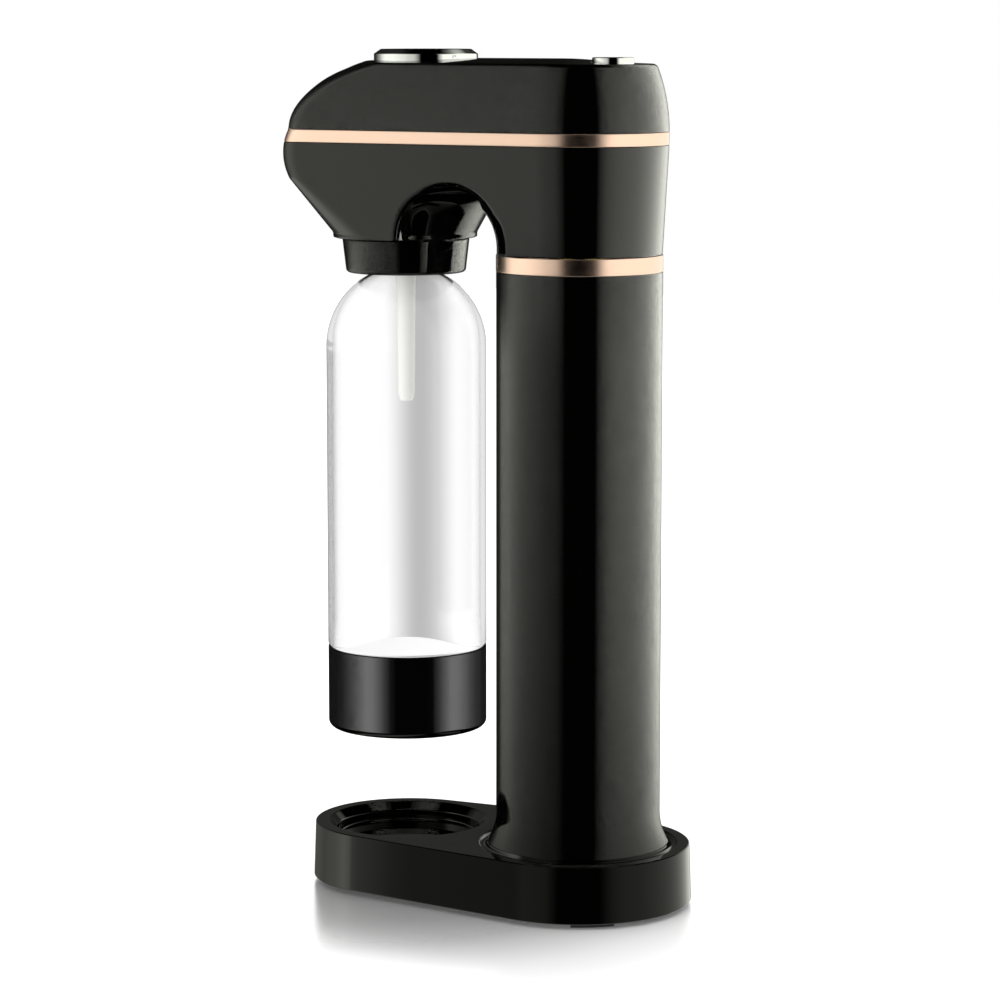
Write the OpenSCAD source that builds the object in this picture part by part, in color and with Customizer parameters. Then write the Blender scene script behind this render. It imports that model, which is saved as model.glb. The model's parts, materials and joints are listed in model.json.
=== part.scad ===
// Sparkling water maker for the worktop: two-lobed base, round column that hides the gas
// cylinder, arched head with two push buttons, and a clear bottle screwed into the collar.
// Millimetres, +Z up, front of the machine towards -Y, mirror plane at X = 0.

/* [Base] */
// Height of the rubber feet
foot_h = 2.5; // [1.5:0.5:5]
// Height of the base housing above the feet
base_h = 28.5; // [26:0.5:40]
// Radius of the rear lobe at its top edge, round the column
base_rear_r = 56; // [54:0.5:64]
// Radius of the front lobe at its top edge, round the bottle
base_front_r = 47.5; // [46.5:0.5:56]
// How much wider the base is at its bottom edge
base_draft = 1; // [0.2:0.2:3]
// Radius of the rounded top edge of the base
base_edge = 1.2; // [0.4:0.2:2]
// Wall of the base housing
base_wall = 3; // [2:0.25:4]
// Thickness of the top deck of the base
deck_t = 3; // [2:0.25:4]
// Thickness of the bottom plate
plate_t = 3; // [2:0.25:4]
// Radius of the round drip dish under the bottle
dish_r = 40.5; // [39.5:0.25:42]
// Depth of the drip dish
dish_depth = 9; // [6:0.5:12]
// Width and depth of the sloped rim of the dish
dish_rim = 4; // [2:0.25:5]

/* [Column] */
// Distance from the column axis forward to the bottle axis
reach = 100; // [97:0.5:112]
// Outer radius of the column
column_r = 41; // [40:0.25:43]
// Wall of the column tube
column_wall = 3; // [2:0.25:4]
// Radius of the hollow curve that flares the column foot
flare_r = 30; // [24:1:45]
// Height of the flared foot
flare_h = 15.4; // [10:0.2:18]
// Rise of the seat ring that the column stands on
seat_rise = 1; // [0.4:0.2:2]
// Radius of the groove round the column foot
moat_r = 2.1; // [1:0.1:2.4]
// Height of the metal ring between column and head
ring_h = 8.3; // [5:0.1:12]

/* [Bottle] */
// Clear height between the base and the hanging bottle
bottle_gap = 49.5; // [40:0.5:70]
// Outer radius of the bottle
bottle_r = 40.6; // [39.6:0.1:40.9]
// Height from the bottom of the bottle to the start of its shoulder
body_h = 195.5; // [180:0.5:215]
// Length of the threaded neck
neck_h = 26; // [22:0.5:30]
// Outer radius of the neck
neck_r = 16.5; // [15:0.1:17]
// Wall of the bottle
bottle_wall = 1.6; // [1:0.1:2.4]
// Height of the base cup
cup_h = 41.9; // [30:0.1:55]
// Wall of the base cup
cup_wall = 1.5; // [1:0.1:2]
// Radius of the rounded bottom edge of the cup
cup_edge = 4; // [2:0.25:6]

/* [Collar and nozzle] */
// Height of the collar that shows under the head
collar_h = 17.1; // [12:0.1:24]
// Radius of the collar at its top
collar_top_r = 32.1; // [30.5:0.1:33.4]
// Radius of the collar at its bottom
collar_low_r = 30.1; // [28:0.1:32]
// Radius of the rounded lower edge of the collar
collar_edge = 2; // [1:0.1:3]
// Length of the nozzle tube below the collar
tube_drop = 65.3; // [50:0.1:80]
// Radius of the nozzle tube at the collar
tube_r = 4.6; // [3.6:0.1:5.5]
// Radius of the nozzle tube at its tip
tube_tip_r = 3.6; // [2.6:0.1:4]

/* [Head] */
// Height of the lower shell from the chin to the metal band
lower_h = 48; // [46:0.5:58]
// Height of the metal band
band_h = 6.3; // [4:0.1:9]
// Height of the cover from the band to its top edge
cover_h = 33.2; // [30:0.2:40]
// Rise of the crowned top above its edge
crown_h = 2.2; // [0.8:0.1:4]
// Half width of the head at the band
head_r = 43.7; // [43:0.1:46]
// Half width lost towards the nose
nose_taper = 2; // [0:0.25:4]
// How far the nose stands forward of the bottle axis
nose_overhang = 52.9; // [50:0.1:58]
// Corner radius of the nose in plan
nose_corner = 14; // [10:0.5:20]
// Bow of the front face between the nose corners
nose_bow = 2; // [0.5:0.25:4]
// Radius of the rounded nose tip seen from the side
nose_tip_r = 24; // [20:1:32]
// Height of the nose tip below the band
nose_tip_drop = 6.3; // [3:0.1:9]
// How far the nose slopes back over the height of the cover
nose_setback = 27; // [20:0.5:30]
// Corner radius of the nose at the top of the cover
top_corner = 31; // [24:0.5:33]
// Radius of the barrelled sides of the cover
barrel_r = 88; // [75:1:140]
// Radius of the neck of the chin round the bottle axis
chin_r = 36; // [34:0.25:37.5]
// Outward lean of that neck towards the vault, width for each unit of height
chin_lean = 0.55; // [0.3:0.05:0.7]
// Radius of the lower outline of the chin
chin_wide_r = 40; // [38:0.25:41]
// Distance of the middle of that outline behind the bottle axis
chin_back = 4; // [2:0.25:6]
// Radius of the rounded lower edge of the chin
chin_edge = 2.5; // [1:0.25:4]
// Radius of the arch between chin and column
arch_r = 31; // [28:0.25:32.5]
// Radius of the hollow curves that lead the chin and the column into the arch
arch_blend = 30; // [24:0.5:40]
// Radius of the curve that raises the band at the nose
band_rise_r = 24; // [20:0.5:40]
// Wall of the head shells
shell_wall = 3; // [2.4:0.1:3.6]

/* [Buttons] */
// Radius of the carbonation button
button_r = 26; // [22:0.25:27]
// Height of the carbonation button above the edge of the cover
button_rise = 6.5; // [6:0.1:10]
// Travel of the carbonation button
button_travel = 6; // [3:0.25:6.5]
// Width of the chamfer on the carbonation button
button_chamfer = 3.4; // [1:0.1:5]
// Distance from the bottle axis back to the carbonation button
button_back = 12.1; // [9:0.1:16]
// Radius of the vent button
vent_r = 10.2; // [8:0.1:11]
// Height of the vent button above the edge of the cover
vent_rise = 2.8; // [2.4:0.1:6]
// Travel of the vent button
vent_travel = 3; // [1.5:0.1:3.2]
// Distance of the vent button behind the column axis
vent_back = 18.2; // [17:0.1:19]

/* [Gas works] */
// Radius of the gas cylinder
gas_r = 30; // [28:0.1:31]
// Height of the straight side of the gas cylinder
gas_side_h = 279; // [260:1:282]
// Height of the rounded shoulder of the gas cylinder
gas_shoulder_h = 32; // [28:0.5:36]
// Wall of the gas cylinder
gas_wall = 4; // [3:0.25:5]
// Radius of the threaded top of the cylinder valve
valve_r = 10.5; // [9:0.1:12]
// Radius of the valve block
block_r = 20; // [18:0.25:22]
// Thickness of the chassis plate
chassis_t = 3; // [2:0.25:4]
// Radius of the pushing plunger in the valve block
plunger_r = 3; // [2.5:0.1:4]
// Distance of the lever pivot behind the column axis
pivot_back = 27; // [26:0.1:28]
// Radius of the lever pivot pin
pin_r = 2.5; // [2:0.1:3]
// Width of the lever
lever_w = 16; // [12:0.5:18]
// Thickness of the lever
lever_t = 6; // [4:0.25:8]
// Outer radius of the hoses
hose_r = 3; // [2.6:0.1:3.4]

/* [Hidden] */

$fn = 64;
hull_fn = 48;
slice_t = 0.2;
over = 1;

// Running gaps, sliding fits and seats
gap = 0.3;
fit = 0.08;
slack = 0.4;
seam = 0.02;

// Heights, built up from the worktop
plate_top = foot_h + plate_t;
base_top = foot_h + base_h;
seat_z = base_top + seat_rise;
dish_floor_z = base_top - dish_depth;
bottle_z = base_top + bottle_gap;
shoulder_z = bottle_z + body_h;
neck_z = shoulder_z + sqrt(bottle_r * bottle_r - neck_r * neck_r);
mouth_z = neck_z + neck_h;
collar_z = neck_z + gap;
collar_top = collar_z + collar_h;
chin_z = collar_top + 2 * gap;
band_z = chin_z + lower_h;
band_top = band_z + band_h;
edge_z = band_top + cover_h;
inner_top = edge_z - shell_wall + 0.5;
ring_drop = 5.5;
ring_top = chin_z - ring_drop;
column_top = ring_top - ring_h;
nose_tip_z = band_z - nose_tip_drop;

// Plan layout, with the middle of the whole machine at the origin
nose_front = reach + nose_overhang;
nose_bow_r = 26;
column_y = (nose_front + nose_bow - base_rear_r - base_draft) / 2;
button_s = reach - button_back;

// Arch
arch_s = reach / 2;
arch_z = chin_z - 1;
floor_z = arch_z + arch_r + shell_wall;
ring_r = column_r - gap;
blend_z = chin_z - 3;
edge_x = (head_r + ring_r - nose_taper) / 2;

// Column
spigot_r = column_r - 2.2;
spigot_wall = 1.8;
crown_spigot_r = column_r - 4.2;
crown_spigot_wall = 2.5;
crown_spigot_h = 18;
ledge_t = 4;
flare_w = flare_r - sqrt(flare_r * flare_r - flare_h * flare_h);
column_foot_r = column_r + flare_w;
moat_at = column_foot_r + moat_r + gap;

// Base fixings and hatch
foot_in = 4;
foot_w = 11;
foot_angle = 24;
foot_rear_at = 37;
foot_front_at = -45;
post_r = 4;
screw_r = 1.4;
screw_head_r = 3.2;
screw_head_h = 1.8;
screw_l = 12;
base_posts = [
    [38, -reach * 0.47], [-38, -reach * 0.47],
    [0, base_rear_r - base_wall - post_r - 2.5], [0, -reach - 25]
];
hatch_r = gas_r + 3;
hatch_lugs = 3;
lug_r = hatch_r + 3.2;
lug_t = 2;
lug_angle = 30;
lug_turn = 45;
grip_w = 14;
grip_l = 28;
grip_d = 2.5;
grip_web = 10;
hatch_top = plate_top + gap + lug_t;
pad_r = gas_r - 4;
pad_t = 3;
guide_h = 10;
guide_levels = [60, 200];

// Gas works
gas_z = hatch_top + pad_t + gap;
gas_edge = 6;
gas_side_top = gas_z + gas_side_h;
gas_neck_z = gas_side_top + gas_shoulder_h;
gas_neck_r = 13;
gas_bore_r = 7;
valve_stem = 14;
valve_flange_h = 8;
valve_top = floor_z - 12;
gasket_t = 2;
gasket_r = 8;
valve_pin_r = 2;
valve_pin_l = 14;
chassis_z = floor_z;
chassis_top = chassis_z + chassis_t;
chassis_rear_r = 34;
chassis_front_r = 30;
flange_r = block_r + 1;
flange_t = 2.5;
block_rise = 6;
block_top = chassis_top + block_rise;
block_z = valve_top - 14;
lever_z = block_top + 12;
lever_top = lever_z + lever_t;
lever_mid = lever_z + lever_t / 2;
plunger_top = lever_z - gap;
plunger_low = valve_top + gasket_t;
ear_t = 2.5;
ear_y = 5;
bracket_t = 2;
boss_r = pin_r + 3.5;
chassis_screw_places = [[24, 17], [-24, 17], [25, -reach + 16], [-25, -reach + 16]];
standoff_r = 3;
standoff_places = [[19, -reach * 0.45], [-19, -reach * 0.45], [-26, 6]];

// Buttons
stem_r = 4;
button_top = edge_z + button_rise;
button_roof = edge_z + 0.5;
skirt_t = 2.5;
skirt_z = inner_top - 8;
guide_wall = 2.6;
guide_floor_t = 2;
guide_floor = skirt_z - button_travel - over;
guide_z = guide_floor - guide_floor_t;
vent_top = edge_z + vent_rise;
vent_stem_r = 2.5;
vent_skirt_z = inner_top - 7;
vent_floor = vent_skirt_z - vent_travel - over;
vent_floor_t = 7;
vent_z = vent_floor - vent_floor_t;
vent_wall = 2.4;
vent_port_z = vent_z + 3.5;
vent_bore_z = vent_z + 2;
vent_roof = edge_z + 0.2;
vent_skirt_t = 1.6;
vent_chamfer = 0.8;
vent_stem_z = vent_floor - 1.5;
vent_mouth_x = vent_r + gap + vent_wall;
button_coil_r = 11;
button_wire = 1.2;
vent_coil_r = 6;
vent_wire = 0.9;
coil_turns = 5;

// Collar and nozzle
well_r = chin_r - 9;
collar_bore_r = neck_r + 1.9;
spigot_top = mouth_z + gap + 2.8;
seal_t = 2.8;
seal_in_r = 12;
nozzle_flange_t = 6;
nozzle_boss_r = 14;
nozzle_head_r = 9;
holder_r = 7;
holder_h = 15;
tube_bore_r = 1.2;
tube_tip_h = 3;
relief_r = 4.5;
relief_s = 19.5;
relief_h = 6;
relief_cap_r = 3;
relief_cap_h = 11;
barb_r = 1.8;
barb_bore_r = 1;
barb_l = 8;
barb_z = chassis_top + 3.4;
nozzle_top = barb_z + 4;
hose_rings = 20;

// Frames of the two upright axes
module at_column() { translate([0, column_y, 0]) children(); }
module at_bottle() { translate([0, column_y - reach, 0]) children(); }
module at_button() { translate([0, column_y - button_s, 0]) children(); }
module at_vent() { translate([0, column_y + vent_back, 0]) children(); }
module up(z) { translate([0, 0, z]) children(); }

// Ring of square section
module tube(r_out, r_in, z0, z1) {
    up(z0) difference() {
        cylinder(r = r_out, h = z1 - z0);
        up(-over) cylinder(r = r_in, h = z1 - z0 + 2 * over);
    }
}

// Upright round bar
module bar(r, z0, z1) { up(z0) cylinder(r = r, h = z1 - z0); }

// Slab with two round ends, one on each upright axis, and straight sides that cut the rounds
// just inside their common tangents
module lobes(r_rear, r_front, h) {
    lean = (r_front - r_rear) / reach;
    side = sqrt(1 - lean * lean);
    rear = r_rear - seam;
    front = r_front - seam;
    cylinder(r = r_rear, h = h);
    translate([0, -reach, 0]) cylinder(r = r_front, h = h);
    linear_extrude(h) polygon([
        [side * rear, lean * rear], [side * front, lean * front - reach],
        [-side * front, lean * front - reach], [-side * rear, lean * rear]
    ]);
}

// Outside of the base, with its draft and its broken top edge
module base_outer() {
    hull() for (lobe = [[0, base_rear_r], [-reach, base_front_r]]) translate([0, lobe[0], 0]) {
        up(foot_h) cylinder(r = lobe[1] + base_draft, h = slice_t, $fn = 96);
        up(base_top - base_edge) cylinder(r = lobe[1], h = slice_t, $fn = 96);
        up(base_top - base_edge * 0.3) cylinder(r = lobe[1] - base_edge * 0.3, h = slice_t, $fn = 96);
        up(base_top - slice_t) cylinder(r = lobe[1] - base_edge, h = slice_t, $fn = 96);
    }
}

module base_housing() color("#161616") {
    at_column() difference() {
        union() {
            difference() {
                base_outer();
                up(foot_h - over)
                    lobes(base_rear_r - base_wall, base_front_r - base_wall, base_h - deck_t + over);
            }
            translate([0, -reach, 0])
                bar(dish_r + base_wall, dish_floor_z - deck_t, base_top - deck_t / 2);
            for (p = base_posts) translate([p[0], p[1], 0])
                bar(post_r, plate_top, base_top - deck_t / 2);
            bar(column_foot_r, base_top - deck_t, seat_z);
        }
        translate([0, -reach, 0]) rotate_extrude() polygon([
            [0, dish_floor_z], [dish_r - dish_rim, dish_floor_z],
            [dish_r - dish_rim, base_top - dish_rim], [dish_r, base_top],
            [dish_r, base_top + over], [0, base_top + over]
        ]);
        bar(spigot_r + gap, foot_h, seat_z + over);
        up(base_top) rotate_extrude() translate([moat_at, 0]) circle(r = moat_r);
        for (p = base_posts) translate([p[0], p[1], 0])
            bar(screw_r + fit, plate_top - over, plate_top + screw_l);
    }
}

// Places of the hatch lugs, or of the notches that let them through
module lugs(r, angle, z0, z1, turn) {
    for (k = [0 : hatch_lugs - 1]) rotate(k * 360 / hatch_lugs + turn - angle / 2) up(z0)
        rotate_extrude(angle = angle) translate([hatch_r - 2, 0]) square([r - hatch_r + 2, z1 - z0]);
}

module base_plate() color("#1b1b1b") {
    at_column() difference() {
        up(foot_h) lobes(base_rear_r - base_wall - gap, base_front_r - base_wall - gap, plate_t);
        bar(hatch_r + gap, foot_h - over, plate_top + over);
        lugs(lug_r + slack, lug_angle + 4, foot_h - over, plate_top + over, lug_turn);
        for (p = base_posts) translate([p[0], p[1], 0]) {
            bar(screw_r + fit, foot_h - over, plate_top + over);
            bar(screw_head_r + gap, foot_h - over, foot_h + screw_head_h);
        }
    }
}

// Four curved pads just inside the rim
module rubber_feet() color("#222222") {
    at_column() for (side = [0, 1]) mirror([side, 0, 0]) {
        rotate(foot_rear_at - foot_angle / 2) rotate_extrude(angle = foot_angle)
            translate([base_rear_r - foot_in - foot_w, 0]) square([foot_w, foot_h]);
        translate([0, -reach, 0]) rotate(foot_front_at - foot_angle / 2) rotate_extrude(angle = foot_angle)
            translate([base_front_r - foot_in - foot_w, 0]) square([foot_w, foot_h]);
    }
}

module base_screws() color("#8a8a8a") {
    at_column() for (p = base_posts) translate([p[0], p[1], 0]) {
        bar(screw_head_r, foot_h, foot_h + screw_head_h);
        bar(screw_r, foot_h, foot_h + screw_l);
    }
}

// Twist-off cover under the gas cylinder, held by lugs above the plate
module cylinder_hatch() color("#1b1b1b") {
    at_column() difference() {
        union() {
            bar(hatch_r, foot_h, hatch_top);
            lugs(lug_r, lug_angle, plate_top + gap, hatch_top, 0);
        }
        for (s = [0, 1]) mirror([s, 0, 0]) translate([grip_web / 2, -grip_l / 2, foot_h - over])
            cube([grip_w, grip_l, grip_d + over]);
    }
}

module hatch_pad() color("#2a2a2a") {
    at_column() bar(pad_r, hatch_top, hatch_top + pad_t);
}

module column_tube() color("#141414") {
    at_column() difference() {
        union() {
            bar(column_r, seat_z, column_top);
            bar(spigot_r, plate_top, seat_z + over);
            bar(crown_spigot_r, column_top - over, column_top + crown_spigot_h);
            rotate_extrude() difference() {
                translate([column_r - 1, seat_z]) square([flare_w + 1, flare_h]);
                translate([column_r + flare_r, seat_z + flare_h]) circle(r = flare_r);
            }
        }
        bar(spigot_r - spigot_wall, plate_top - over, seat_z + ledge_t);
        bar(column_r - column_wall, seat_z + ledge_t - slice_t, column_top - ledge_t);
        bar(crown_spigot_r - crown_spigot_wall, column_top - ledge_t - slice_t,
            column_top + crown_spigot_h + over);
    }
}

module column_ring() color("#d9a98c") {
    at_column() tube(column_r + 0.1, crown_spigot_r + gap, column_top, ring_top);
}

// Two rings that keep the gas cylinder upright inside the column
module cylinder_guides() color("#3a3a3a") {
    at_column() for (z = guide_levels) tube(column_r - column_wall - gap, gas_r + gap, z, z + guide_h);
}

module gas_cylinder() color("#b9bcc0") {
    shoulder = [for (k = [0 : 12]) let (a = k * 90 / 12)
        [gas_neck_r + (gas_r - gas_neck_r) * cos(a), gas_side_top + gas_shoulder_h * sin(a)]];
    hollow = [for (k = [0 : 12]) let (a = k * 90 / 12)
        [gas_bore_r + (gas_r - gas_wall - gas_bore_r) * cos(a),
         gas_side_top + (gas_shoulder_h - gas_wall) * sin(a)]];
    at_column() rotate_extrude() difference() {
        polygon(concat([[0, gas_z], [gas_r - gas_edge, gas_z], [gas_r, gas_z + gas_edge]], shoulder,
            [[0, gas_neck_z]]));
        polygon(concat([[0, gas_z + gas_wall], [gas_r - gas_edge - 1, gas_z + gas_wall],
            [gas_r - gas_wall, gas_z + gas_edge + gas_wall]], hollow,
            [[gas_bore_r, gas_neck_z + over], [0, gas_neck_z + over]]));
    }
}

// Brass valve screwed into the neck of the gas cylinder
module cylinder_valve() color("#c8a24a") {
    at_column() difference() {
        union() {
            bar(gas_bore_r - fit, gas_neck_z - valve_stem, gas_neck_z + over);
            bar(gas_neck_r, gas_neck_z, gas_neck_z + valve_flange_h);
            bar(valve_r, gas_neck_z + valve_flange_h, valve_top);
        }
        bar(valve_pin_r + fit, valve_top - valve_pin_l - 2 * over, valve_top + over);
    }
}

module valve_pin() color("#d8d8d8") {
    at_column() bar(valve_pin_r, plunger_low - valve_pin_l, plunger_low);
}

module valve_gasket() color("#202020") {
    at_column() tube(gasket_r, plunger_r + slack, valve_top, valve_top + gasket_t);
}

// Block that takes the cylinder valve from below and guides the plunger
module valve_block() color("#a8abad") {
    at_column() difference() {
        union() {
            bar(block_r, block_z, block_top);
            bar(flange_r, chassis_top, chassis_top + flange_t);
        }
        bar(valve_r + fit, block_z - over, valve_top);
        bar(gasket_r + fit, valve_top - over, valve_top + gasket_t);
        bar(plunger_r + fit, valve_top, block_top + over);
        translate([0, 0, barb_z]) rotate([90, 0, 0]) cylinder(r = barb_r + fit, h = block_r + over);
    }
}

module valve_plunger() color("#d8d8d8") {
    at_column() bar(plunger_r, plunger_low, plunger_top);
}

// Plate that lies on the floor of the head and carries all the gas works
module chassis_plate() color("#9b9ea1") {
    at_column() difference() {
        up(chassis_z) lobes(chassis_rear_r, chassis_front_r, chassis_t);
        bar(block_r + gap, chassis_z - over, chassis_top + over);
        translate([0, -reach, 0]) bar(nozzle_head_r + gap, chassis_z - over, chassis_top + over);
        for (p = chassis_screw_places) translate([p[0], p[1], 0])
            bar(screw_r + fit, chassis_z - over, chassis_top + over);
    }
}

module chassis_screws() color("#8a8a8a") {
    at_column() for (p = chassis_screw_places) translate([p[0], p[1], 0]) {
        bar(screw_head_r, chassis_top, chassis_top + screw_head_h);
        bar(screw_r, chassis_z - screw_l / 2, chassis_top + screw_head_h);
    }
}

// Two ears that carry the pivot of the lever
module lever_bracket() color("#9b9ea1") {
    ear_x = lever_w / 2 + gap;
    at_column() translate([0, pivot_back, 0]) difference() {
        union() {
            translate([-ear_x - ear_t, -ear_y, chassis_top])
                cube([2 * (ear_x + ear_t), 2 * ear_y, bracket_t]);
            for (s = [0, 1]) mirror([s, 0, 0]) {
                translate([ear_x, -ear_y, chassis_top])
                    cube([ear_t, 2 * ear_y, lever_mid - chassis_top]);
                translate([ear_x, 0, lever_mid]) rotate([0, 90, 0]) cylinder(r = ear_y, h = ear_t);
            }
        }
        translate([-ear_x - ear_t - over, 0, lever_mid]) rotate([0, 90, 0])
            cylinder(r = pin_r + fit / 4, h = 2 * (ear_x + ear_t + over));
    }
}

module lever_pin() color("#d8d8d8") {
    half = lever_w / 2 + gap + ear_t + 1;
    at_column() translate([-half, pivot_back, lever_mid]) rotate([0, 90, 0])
        cylinder(r = pin_r, h = 2 * half);
}

// Long lever from the pivot over the plunger to the stem of the button
module carbonation_lever() color("#aeb1b4") {
    at_column() difference() {
        union() {
            up(lever_z) linear_extrude(lever_t) {
                translate([-lever_w / 2, -button_s]) square([lever_w, button_s + pivot_back]);
                translate([0, -button_s]) circle(r = lever_w / 2);
            }
            translate([-lever_w / 2, pivot_back, lever_mid]) rotate([0, 90, 0])
                cylinder(r = boss_r, h = lever_w);
        }
        translate([-lever_w / 2 - over, pivot_back, lever_mid]) rotate([0, 90, 0])
            cylinder(r = pin_r + fit, h = lever_w + 2 * over);
        up(lever_z - over) linear_extrude(lever_t + 2 * over) for (k = [1 : 3])
            translate([0, -button_s * k / 4 - 4]) circle(r = lever_w / 4);
    }
}

// Plan slice of the head: round rear, square nose with soft corners and a slight bow
module slice(z, side, front, corner, wall = 0) {
    nose_w = head_r - nose_taper - side;
    bow_r = min(nose_bow_r, nose_w - 3 * nose_bow);
    up(z) linear_extrude(slice_t, $fn = hull_fn) {
        circle(r = head_r - side - wall);
        for (s = [-1, 1]) translate([s * (nose_w - corner), corner - front]) circle(r = corner - wall);
        translate([0, bow_r - front - nose_bow]) circle(r = bow_r - wall);
    }
}

// Reach of the nose at height z below the top of the band
function nose_at(z) =
    nose_front - nose_tip_r + sqrt(nose_tip_r * nose_tip_r - (z - nose_tip_z) * (z - nose_tip_z));
// Loss of half width at height z of the lower shell, level with the ring at its foot
function lower_side(z) = (head_r - ring_r) * (band_z - z) / (band_z - ring_top);
// Loss of half width at height h of the cover
function cover_side(h) = barrel_r - sqrt(barrel_r * barrel_r - h * h);
// Reach of the nose at share t of the height of the cover
function cover_front(t) = nose_at(band_top) - nose_setback * t * t;
function cover_corner(t) = nose_corner + (top_corner - nose_corner) * t * t;

cover_steps = [0, 0.15, 0.3, 0.45, 0.58, 0.7, 0.8, 0.9, 1];
crown_steps = [[0.55, 2.5], [0.85, 7], [1, 13]];

module cover_outer() {
    hull() {
        for (t = cover_steps)
            slice(band_top + t * cover_h, cover_side(t * cover_h), cover_front(t), cover_corner(t));
        for (c = crown_steps)
            slice(edge_z + c[0] * crown_h - slice_t, cover_side(cover_h), cover_front(1), top_corner, c[1]);
    }
}

module cover_inner(wall) {
    inner_h = inner_top - band_top;
    hull() for (t = [-0.1, 0, 0.25, 0.45, 0.62, 0.78, 0.9, 1]) {
        h = t * inner_h;
        slice(band_top + h, cover_side(h), cover_front(h / cover_h), cover_corner(h / cover_h), wall);
    }
}

// Side view of the raised front of the band, drawn across the whole width
module band_riser(lift = 0) {
    rise_s = nose_front - nose_corner;
    run = nose_corner + 3 * nose_bow;
    at_column() rotate([90, 0, 90]) translate([0, 0, -head_r]) linear_extrude(2 * head_r) difference() {
        translate([-rise_s - run, band_top - lift]) square([run, cover_h / 3 + lift]);
        translate([-rise_s, band_top + band_rise_r]) circle(r = band_rise_r, $fn = 128);
    }
}

module head_band() color("#dcae92") {
    band_wall = shell_wall - 0.4;
    difference() {
        union() {
            at_column() hull() for (z = [band_z, band_top - slice_t])
                slice(z, 0, nose_at(z), nose_corner);
            intersection() {
                at_column() cover_outer();
                band_riser();
            }
        }
        at_column() hull() for (z = [band_z - over, band_top + 0.5])
            slice(z, 0, nose_at(z), nose_corner, band_wall);
        at_column() cover_inner(band_wall);
    }
}

module head_cover() color("#151515") {
    difference() {
        at_column() cover_outer();
        at_column() cover_inner(shell_wall - 0.5);
        band_riser(over);
        at_button() bar(button_r + slack, inner_top - over, button_top);
        at_vent() bar(vent_r + gap, inner_top - over, vent_top);
    }
}

// Solid bulk of the lower shell before the arch is cut
module lower_bulk() {
    at_column() hull() {
        for (drop = [0, nose_tip_drop, nose_tip_drop + 5, nose_tip_drop + 9, nose_tip_drop + 12])
            slice(band_z - drop - slice_t, lower_side(band_z - drop), nose_at(band_z - drop), nose_corner);
        bar(ring_r, ring_top, ring_top + slice_t, $fn = hull_fn);
        translate([0, chin_back - reach, 0]) {
            bar(chin_wide_r - chin_edge, chin_z, chin_z + slice_t, $fn = hull_fn);
            bar(chin_wide_r - chin_edge * 0.3, chin_z + chin_edge * 0.3, chin_z + chin_edge * 0.3 + slice_t,
                $fn = hull_fn);
            bar(chin_wide_r, chin_z + chin_edge, chin_z + chin_edge + slice_t, $fn = hull_fn);
        }
    }
}

// Radius at height z of a turned trunk that flares upward into the vault of the arch. It stays
// clear of the side faces, so that the edge of the arch there is a plain half circle
function edge_r(z) = let (d = arch_s - sqrt(max(0, arch_r * arch_r - (z - arch_z) * (z - arch_z))))
    sqrt(edge_x * edge_x + d * d);
function flare_at(h) = h <= 0 ? 0 : arch_blend - sqrt(max(0, arch_blend * arch_blend - h * h));
module trunk(r, z0, lean = 0) {
    top = arch_z + arch_r;
    steps = 12;
    rotate_extrude() polygon(concat(
        [[0, arch_z - arch_r - ring_drop - over], [r, arch_z - arch_r - ring_drop - over], [r, z0]],
        [for (k = [1 : steps]) let (z = z0 + (top - z0) * k / steps)
            [min(r + max(lean * (z - z0), flare_at(z - z0)), edge_r(z)), z]],
        [[edge_r(top), top + over], [0, top + over]]));
}

// Vault between chin and column, running from side to side, and the level underside of the chin
module arch() {
    at_column() translate([-head_r, -nose_front, ring_top - over])
        cube([2 * head_r, nose_front - arch_s, chin_z - ring_top + over]);
    difference() {
        at_column() translate([-head_r, -arch_s, arch_z]) rotate([0, 90, 0]) {
            cylinder(r = arch_r, h = 2 * head_r, $fn = 128);
            translate([0, -arch_r, 0]) cube([arch_r + ring_drop, 2 * arch_r, 2 * head_r]);
        }
        at_column() trunk(ring_r, blend_z);
        at_bottle() trunk(chin_r, chin_z + chin_edge, chin_lean);
    }
}

// Arched lower shell, open at the top, with wells for the valve block and the collar
module head_lower_shell() color("#151515") {
    difference() {
        lower_bulk();
        arch();
        at_column() hull() for (z = [floor_z, band_z + over])
            slice(z, lower_side(z), nose_at(z), nose_corner, shell_wall);
        at_column() {
            bar(crown_spigot_r + gap, ring_top - over, column_top + crown_spigot_h + gap);
            bar(block_r + slack, ring_top, floor_z + over);
            for (p = chassis_screw_places) translate([p[0], p[1], 0])
                bar(screw_r + fit, chassis_z - screw_l / 2 - over, chassis_z + over);
        }
        at_bottle() bar(well_r, chin_z - over, floor_z + over);
    }
}

// Pillars that tie the cover to the chassis plate
module cover_standoffs() color("#b8bbbe") {
    at_column() for (p = standoff_places) translate([p[0], p[1], 0])
        bar(standoff_r, chassis_top, inner_top);
}

// Cup under the cover that guides the carbonation button and holds its spring
module button_guide() color("#1f1f1f") {
    at_button() difference() {
        bar(button_r + slack + guide_wall, guide_z, inner_top);
        bar(button_r + slack, guide_floor, inner_top + over);
        bar(stem_r + fit, guide_z - over, guide_floor + over);
    }
}

module carbonation_button() color("#d5d8da") {
    at_button() rotate_extrude() polygon([
        [0, lever_top + gap], [stem_r, lever_top + gap], [stem_r, button_roof],
        [button_r - skirt_t, button_roof], [button_r - skirt_t, skirt_z], [button_r, skirt_z],
        [button_r, button_top - button_chamfer * 0.7], [button_r - button_chamfer, button_top],
        [0, button_top]
    ]);
}

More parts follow.
